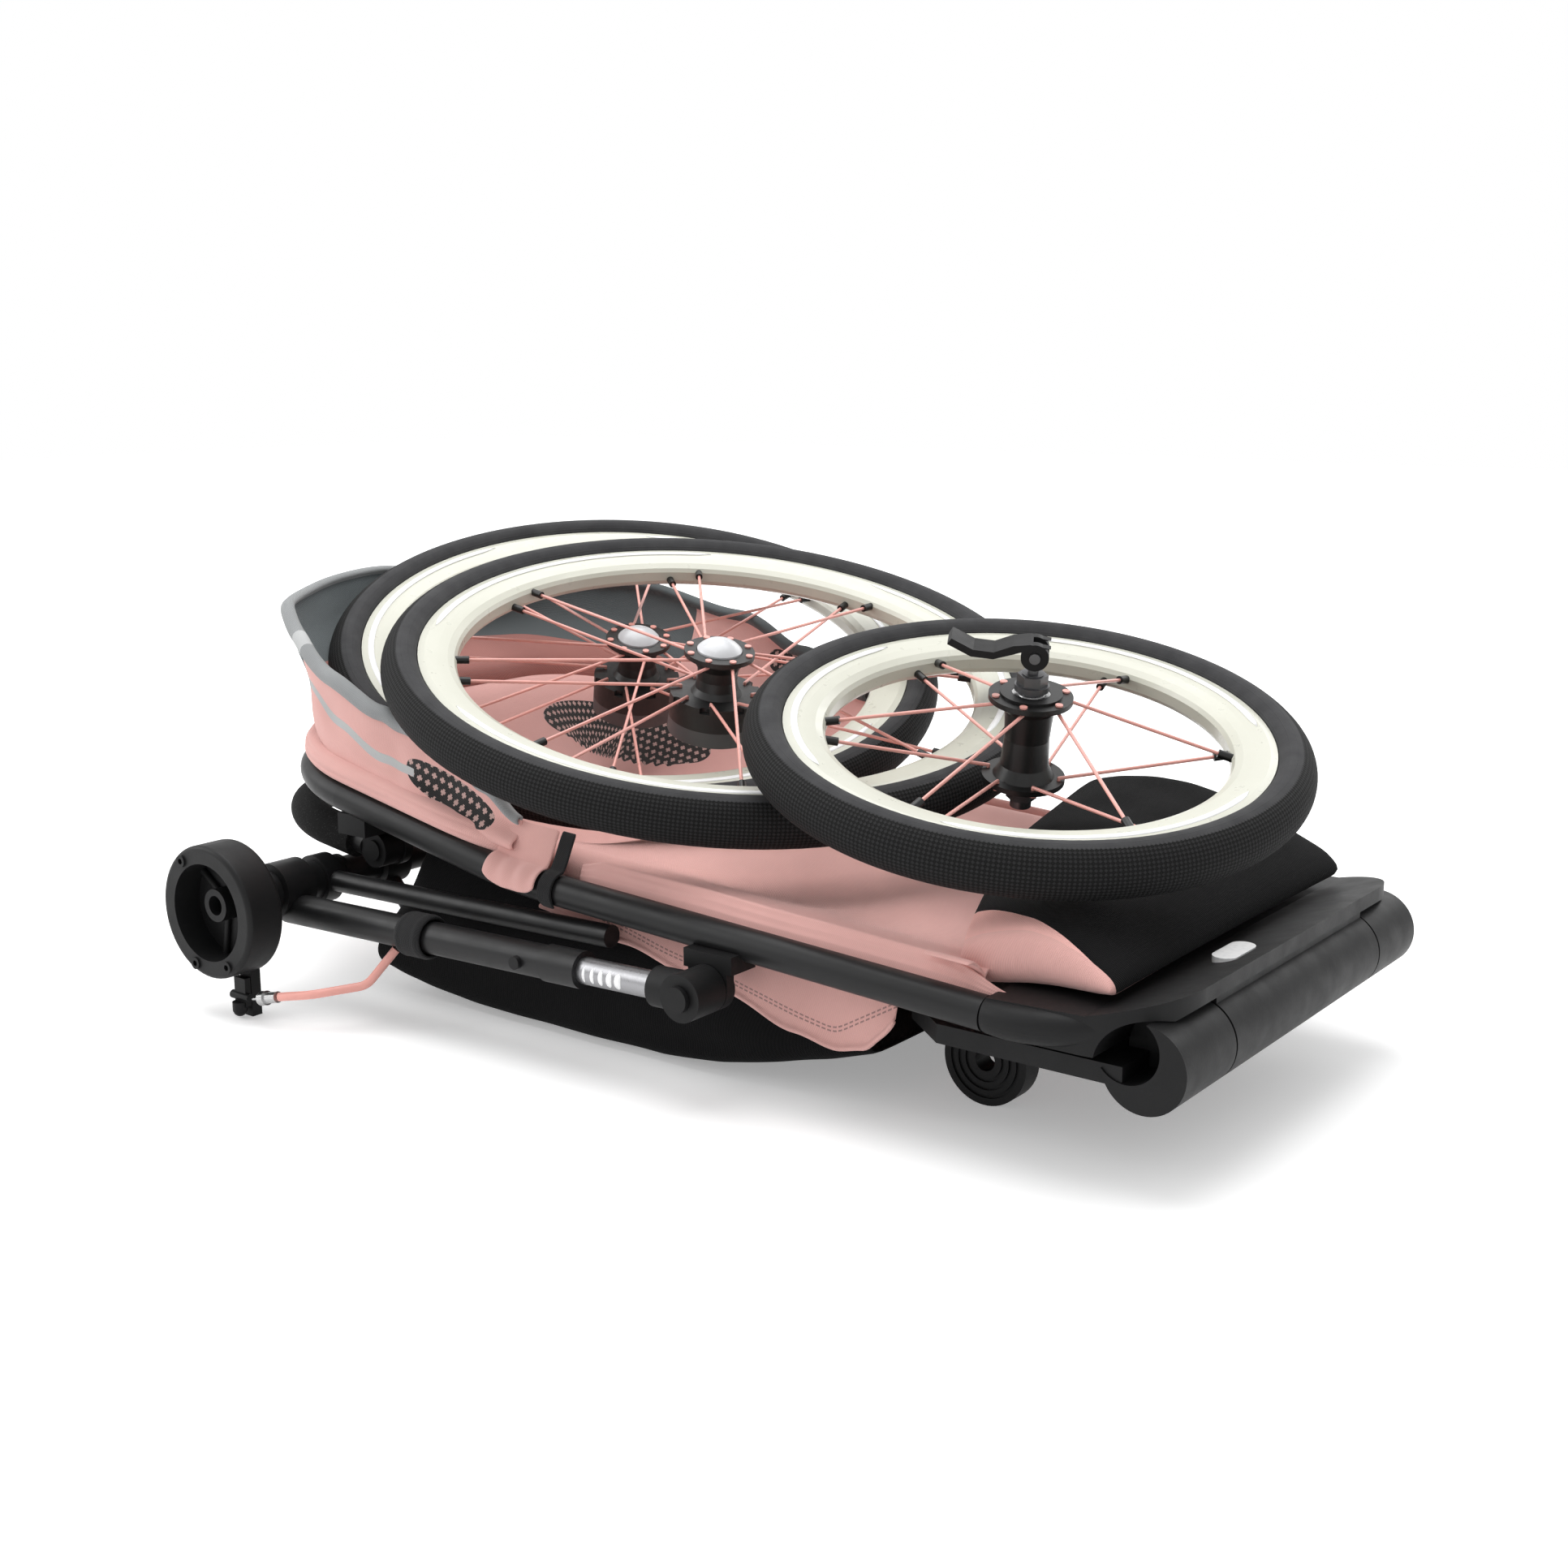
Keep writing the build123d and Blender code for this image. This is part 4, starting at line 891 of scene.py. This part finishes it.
pad_rows = []
for step in range(PAD_ALONG + 1):
    share = step / PAD_ALONG
    near_z, far_z, base_z = between(PAD, PAD_START + (PAD_FRONT - PAD_START) * share)
    arch = math.sin(math.pi * share)
    half = PAD_HALF - 5.0 * arch
    least = 0.94 if share < 0.5 else 0.25
    top, under = [], []
    for k in range(PAD_ACROSS + 1):
        s = 2 * k / PAD_ACROSS - 1
        y = s * half
        x = pad_back(y) + (PAD_FRONT - pad_back(y)) * share
        crown = near_z + (far_z - near_z) * (s + 1) / 2
        crown += 3.0 * (1 - s * s) * arch ** 0.5 - 3.0 * abs(s) ** 14
        crown += ripple(x, y, 0, 34, 2.6) * (1 - s ** 6) * arch
        seam_z = base_z + 4
        top.append((x, y, seam_z + (crown - seam_z) * (least + (1 - least) * arch ** 0.35)))
        under.append((x, y * 0.985, base_z + 1 - s * s))
    near_side = pad_side(top[0], under[0], -1)
    far_side = pad_side(top[-1], under[-1], 1)
    pad_rows.append(top + far_side[::-1] + under[::-1] + near_side)
pad = grid("calf_rest_cushion", pad_rows, closed=True)
count = len(pad_rows[0])
side_faces = PAD_ALONG * count
under_start = count - PAD_SIDE - 1
ends = bmesh.new()
ends.from_mesh(pad.data)
ends.verts.ensure_lookup_table()
for base in (0, side_faces):
    corners = [(k, k + 1, under_start - k - 1, under_start - k) for k in range(PAD_ACROSS)]
    corners.append((0, *range(count - 1, under_start - 1, -1)))
    corners.append(range(PAD_ACROSS, PAD_ACROSS + PAD_SIDE + 2))
    for numbers in corners:
        ends.faces.new([ends.verts[base + number] for number in numbers])
ends.to_mesh(pad.data)
ends.free()
for index, face in enumerate(pad.data.polygons):
    if index < side_faces:
        pale = index % count >= PAD_ACROSS + PAD_SIDE + 1
    else:
        place = index - side_faces
        pale = place < TURNED_FACES or place % (PAD_ACROSS + 2) == PAD_ACROSS
    face.material_index = 1 if pale else 0
sew(pad, "seat_frame", [pad_paint, pink_cloth], ["calf_rest_pad"])

# Flaps that hang under the seat, with a rolled edge
FLAP_EDGE = [(-84, 80), (-20, 70), (50, 56), (100, 43.5), (125, 38.5), (142, 42), (155, 52), (162, 62)]
FLAP_ROLL = [(1.5, -0.6), (1.7, -1.6), (0.6, -2.3), (-0.8, -1.5)]
FLAP_STEPS, FLAP_DOWN = 60, 11
FLAP_Y = HALF_WIDTH - 14.5
for side, label in SIDES:
    rows = []
    for step in range(FLAP_STEPS + 1):
        x = FLAP_EDGE[0][0] + (FLAP_EDGE[-1][0] - FLAP_EDGE[0][0]) * step / FLAP_STEPS
        top_z = frame_height(x) - 11.5
        edge_z = min(read(FLAP_EDGE, x)[0], top_z - 3)
        row = []
        for down in range(FLAP_DOWN + 1):
            share = down / FLAP_DOWN
            z = top_z + (edge_z - top_z) * share
            fold = 1.8 * math.sin(2 * math.pi * x / 82 + 0.6) + ripple(x, side * 40, z, 26, 1.6)
            y = FLAP_Y + (0.6 * fold + 2.0 * share) * (0.3 + 0.7 * share)
            row.append((x, side * y, z))
        row += [(x, side * (y + bulge), edge_z + drop) for bulge, drop in FLAP_ROLL]
        rows.append(row)
    flap = grid("seat_flap_" + label, rows)
    sew(flap, "seat_frame", [flap_paint], ["seat_flaps"], thick=1.6)

# Basket: a slack bag that hangs under the seat.
# Places along it, with the heights of its floor and of its upper edge.
BASKET = [(-226, 17, 40), (-205, 10, 66), (-188, 6.5, 98), (-150, 3.2, 94), (-100, 2.8, 84.5),
          (-50, 2.8, 80.5), (0, 3.2, 78), (40, 7, 75.5), (80, 15, 73), (108, 22, 71.5), (140, 33, 69.5)]
BASKET_Y = 126.0
BASKET_STEPS, WALL_STEPS = 60, 9
basket_rows = []
for step in range(BASKET_STEPS + 1):
    x = BASKET[0][0] + (BASKET[-1][0] - BASKET[0][0]) * step / BASKET_STEPS
    low_z, top_z = between(BASKET, x)
    deep = top_z - low_z
    wide = 12.5 * (1 - 0.8 * ease(x, 40, 110))
    half = []
    for k in range(WALL_STEPS + 1):
        share = k / WALL_STEPS
        belly = math.sin(math.pi * share * 0.72)
        z = top_z - deep * 0.92 * share
        crease = 2.0 * math.exp(-(((z - 16 - 0.06 * x) / 5) ** 2)) * ease(x, -60, 20)
        y = BASKET_Y + (wide + ripple(x, 0, z, 34, 2.0)) * belly - crease
        half.append((y, z))
    half += [(y - 4, low_z + 0.02 * deep), (y - 14, low_z), (60, low_z), (0, low_z)]
    basket_rows.append([(x, -y, z) for y, z in half] + [(x, y, z) for y, z in reversed(half[:-1])])
basket = grid("storage_basket_cloth", basket_rows)
sew(basket, "seat_frame", [black_weave], ["storage_basket"], thick=2.0)

# Loops of the basket round the struts, with a raised band near each edge
LOOP_BACK, LOOP_WIDTH, LOOP_STEPS, LOOP_SIDES = -152.5, 21, 12, 40
LOOP_R = 11.4
LOOP_BANDS = (2, 10)
for side, label in SIDES:
    rows = []
    for step in range(LOOP_STEPS + 1):
        x = LOOP_BACK + LOOP_WIDTH * step / LOOP_STEPS
        radius = LOOP_R + math.sin(math.pi * step / LOOP_STEPS) ** 0.4
        if step in LOOP_BANDS:
            radius += 0.5
        z = strut_height(x)
        angles = [2 * math.pi * k / LOOP_SIDES for k in range(LOOP_SIDES)]
        rows.append([(x, side * STRUT_Y + radius * math.cos(a), z + radius * math.sin(a)) for a in angles])
    loop = grid("basket_loop_" + label, rows, closed=True)
    sew(loop, "rear_axle", [black_webbing], ["basket_straps"], thick=1.6)

# Cut sizes of the cloth in metres, how it is held and what holds it
CUTS = [
    ("seat_cover_cloth", (0.44, 0.56), 0.174, "stretched", "frame_tube"),
    ("hood_cloth", (0.115, 0.95), 0.0756, "hung", "frame_tube"),
    ("storage_basket_cloth", (0.46, 0.37), 0.1495, "hung", "frame_tube"),
    ("seat_flap_{}", (0.052, 0.246), 0.0062, "hung", "frame_tube"),
    ("hood_tab_{}", (0.04, 0.045), None, "draped", "frame_tube"),
    ("hood_strap_{}", (0.01, 0.055), None, "stretched", "frame_tube"),
    ("trim_clip_{}", (0.023, 0.03), None, "draped", "seat_edge_trim_{}"),
    ("basket_loop_{}", (0.021, 0.08), None, "stretched", "leg_struts"),
]
for name, flat, area, held, holder in CUTS:
    for label in ("right", "left") if "{" in name else ("",):
        piece = bpy.data.objects[name.format(label)]

# Printed light arcs on both faces of each rim, with a faint painted glow
ARC_STARTS, ARC_TURN, ARC_STEPS = (12, 132, 252), 82, 34
ARC_IN, ARC_HALF = 5.1, 1.9
ARC_Z = (10.28, 10.52)
for wheel in WHEELS:
    centre, x_axis, y_axis, up = wheel_axes(wheel)
    middle_r = WHEELS[wheel][3] - ARC_IN
    origin = centre * 1000 - SHIFT
    for face_sign, label in ((1, "upper"), (-1, "under")):
        points, faces = [], []
        for start in ARC_STARTS:
            faces += ribbon(len(points), ARC_STEPS)
            for step in range(ARC_STEPS + 1):
                angle = math.radians(start + ARC_TURN * step / ARC_STEPS)
                outward = x_axis * math.cos(angle) + y_axis * math.sin(angle)
                half = ARC_HALF * math.sqrt(min(step, ARC_STEPS - step, 2) / 2)
                for r, z in zip((middle_r - half, middle_r + half), ARC_Z):
                    points.append(at(*(origin + outward * r + up * (face_sign * z))))
        arcs = mesh_object(wheel + "_arcs_" + label, points, faces)
        sew(arcs, wheel, [print_with_painted_glow], thick=0.3, rounds=0)

# Setting marks on the suspension tubes, with the same faint painted glow
MARKS, MARK_X, MARK_PITCH = 5, -8.5, 6.1
MARK_R, MARK_TURN, MARK_STEPS = 7.53, 68, 8
for side, label in SIDES:
    points, faces = [], []
    for number in range(MARKS):
        middle = MARK_X + MARK_PITCH * number
        half = 1.0 + 0.32 * number
        faces += ribbon(len(points), MARK_STEPS)
        for k in range(MARK_STEPS + 1):
            share = 2 * k / MARK_STEPS - 1
            angle = math.radians(MARK_TURN / 2 * share)
            y = side * (STRUT_Y + MARK_R * math.cos(angle))
            wide = half * math.sqrt(max(1 - abs(share) ** 3, 0.06))
            for x in (middle - wide, middle + wide):
                points.append(at(x, y, strut_height(x) + MARK_R * math.sin(angle)))
    marks = mesh_object("setting_marks_" + label, points, faces)
    sew(marks, "rear_legs", [print_with_painted_glow], thick=0.05, rounds=0)

# Floor, light and camera


def seen_rays(tree):
    """Socket that is one for camera, glossy and transmission rays and nought for the rest."""
    rays = tree.nodes.new("ShaderNodeLightPath")
    seen = rays.outputs["Is Camera Ray"]
    for kind in ("Is Glossy Ray", "Is Transmission Ray"):
        either = tree.nodes.new("ShaderNodeMath")
        either.operation = "MAXIMUM"
        tree.links.new(seen, either.inputs[0])
        tree.links.new(rays.outputs[kind], either.inputs[1])
        seen = either.outputs[0]
    return seen


FLOOR_HALF = 6
floor_corners = [(-1, -1), (1, -1), (1, 1), (-1, 1)]
floor = mesh_object("floor", [(x * FLOOR_HALF, y * FLOOR_HALF, 0) for x, y in floor_corners], [(0, 1, 2, 3)])
floor_paint = Paint("floor", (0.9, 0.9, 0.9), 0.9, specular=0.0)
floor_tone = floor_paint.span(floor_paint.noise(3, 2), 0.3, 0.7)
floor_paint.shade(floor_paint.mix(floor_tone, (0.9, 0.9, 0.9), (0.91, 0.91, 0.91)))
floor_paint.set("Emission Color", (1, 1, 1, 1))
spread = floor_paint.vector("LENGTH", floor_paint.place, (0, 0, 0))
glow = floor_paint.span(spread, 0.6, 2.4, 0.3, 0.75)
glow = floor_paint.math("MULTIPLY", glow, seen_rays(floor_paint.tree))
floor_paint.join(glow, floor_paint.shader.inputs["Emission Strength"])
floor.data.materials.append(floor_paint.material)

world = bpy.data.worlds.new("studio")
scene.world = world
world.use_nodes = True
sky = world.node_tree.nodes["Background"]
bright = world.node_tree.nodes.new("ShaderNodeMapRange")
world.node_tree.links.new(seen_rays(world.node_tree), bright.inputs[0])
bright.inputs["To Min"].default_value = 0.66
bright.inputs["To Max"].default_value = 1.0
world.node_tree.links.new(bright.outputs[0], sky.inputs["Strength"])
sky.inputs["Color"].default_value = (1, 1, 1, 1)


def softbox(name, place, target, size, power):
    """Area light aimed at a point."""
    light = bpy.data.lights.new(name, "AREA")
    light.shape = "RECTANGLE"
    light.size, light.size_y = size
    light.energy = power
    lamp = bpy.data.objects.new(name, light)
    scene.collection.objects.link(lamp)
    lamp.location = place
    lamp.rotation_euler = (Vector(target) - Vector(place)).to_track_quat("-Z", "Y").to_euler()


softbox("top_light", (-0.3, 0.1, 2.2), (0, 0, 0.1), (2.2, 2.2), 42)
softbox("left_light", (-2.0, -1.3, 1.3), (0, 0, 0.1), (1.4, 1.4), 22)
softbox("back_light", (0.4, 2.2, 1.4), (0, 0, 0.15), (2.0, 1.0), 14)

camera = bpy.data.objects.new("camera", bpy.data.cameras.new("camera"))
scene.collection.objects.link(camera)
scene.camera = camera
SENSOR = 36.0
PHOTO_WIDTH, PHOTO_FOCAL = 1932, 2440
camera.data.sensor_width = SENSOR
camera.data.lens = PHOTO_FOCAL / PHOTO_WIDTH * SENSOR
camera.location = at(687, -936, 390)
heading, pitch = math.radians(36.8), math.radians(12.3)
look = Vector((-math.sin(heading) * math.cos(pitch), math.cos(heading) * math.cos(pitch), -math.sin(pitch)))
camera.rotation_euler = look.to_track_quat("-Z", "Y").to_euler()
scene.view_settings.view_transform = "Standard"
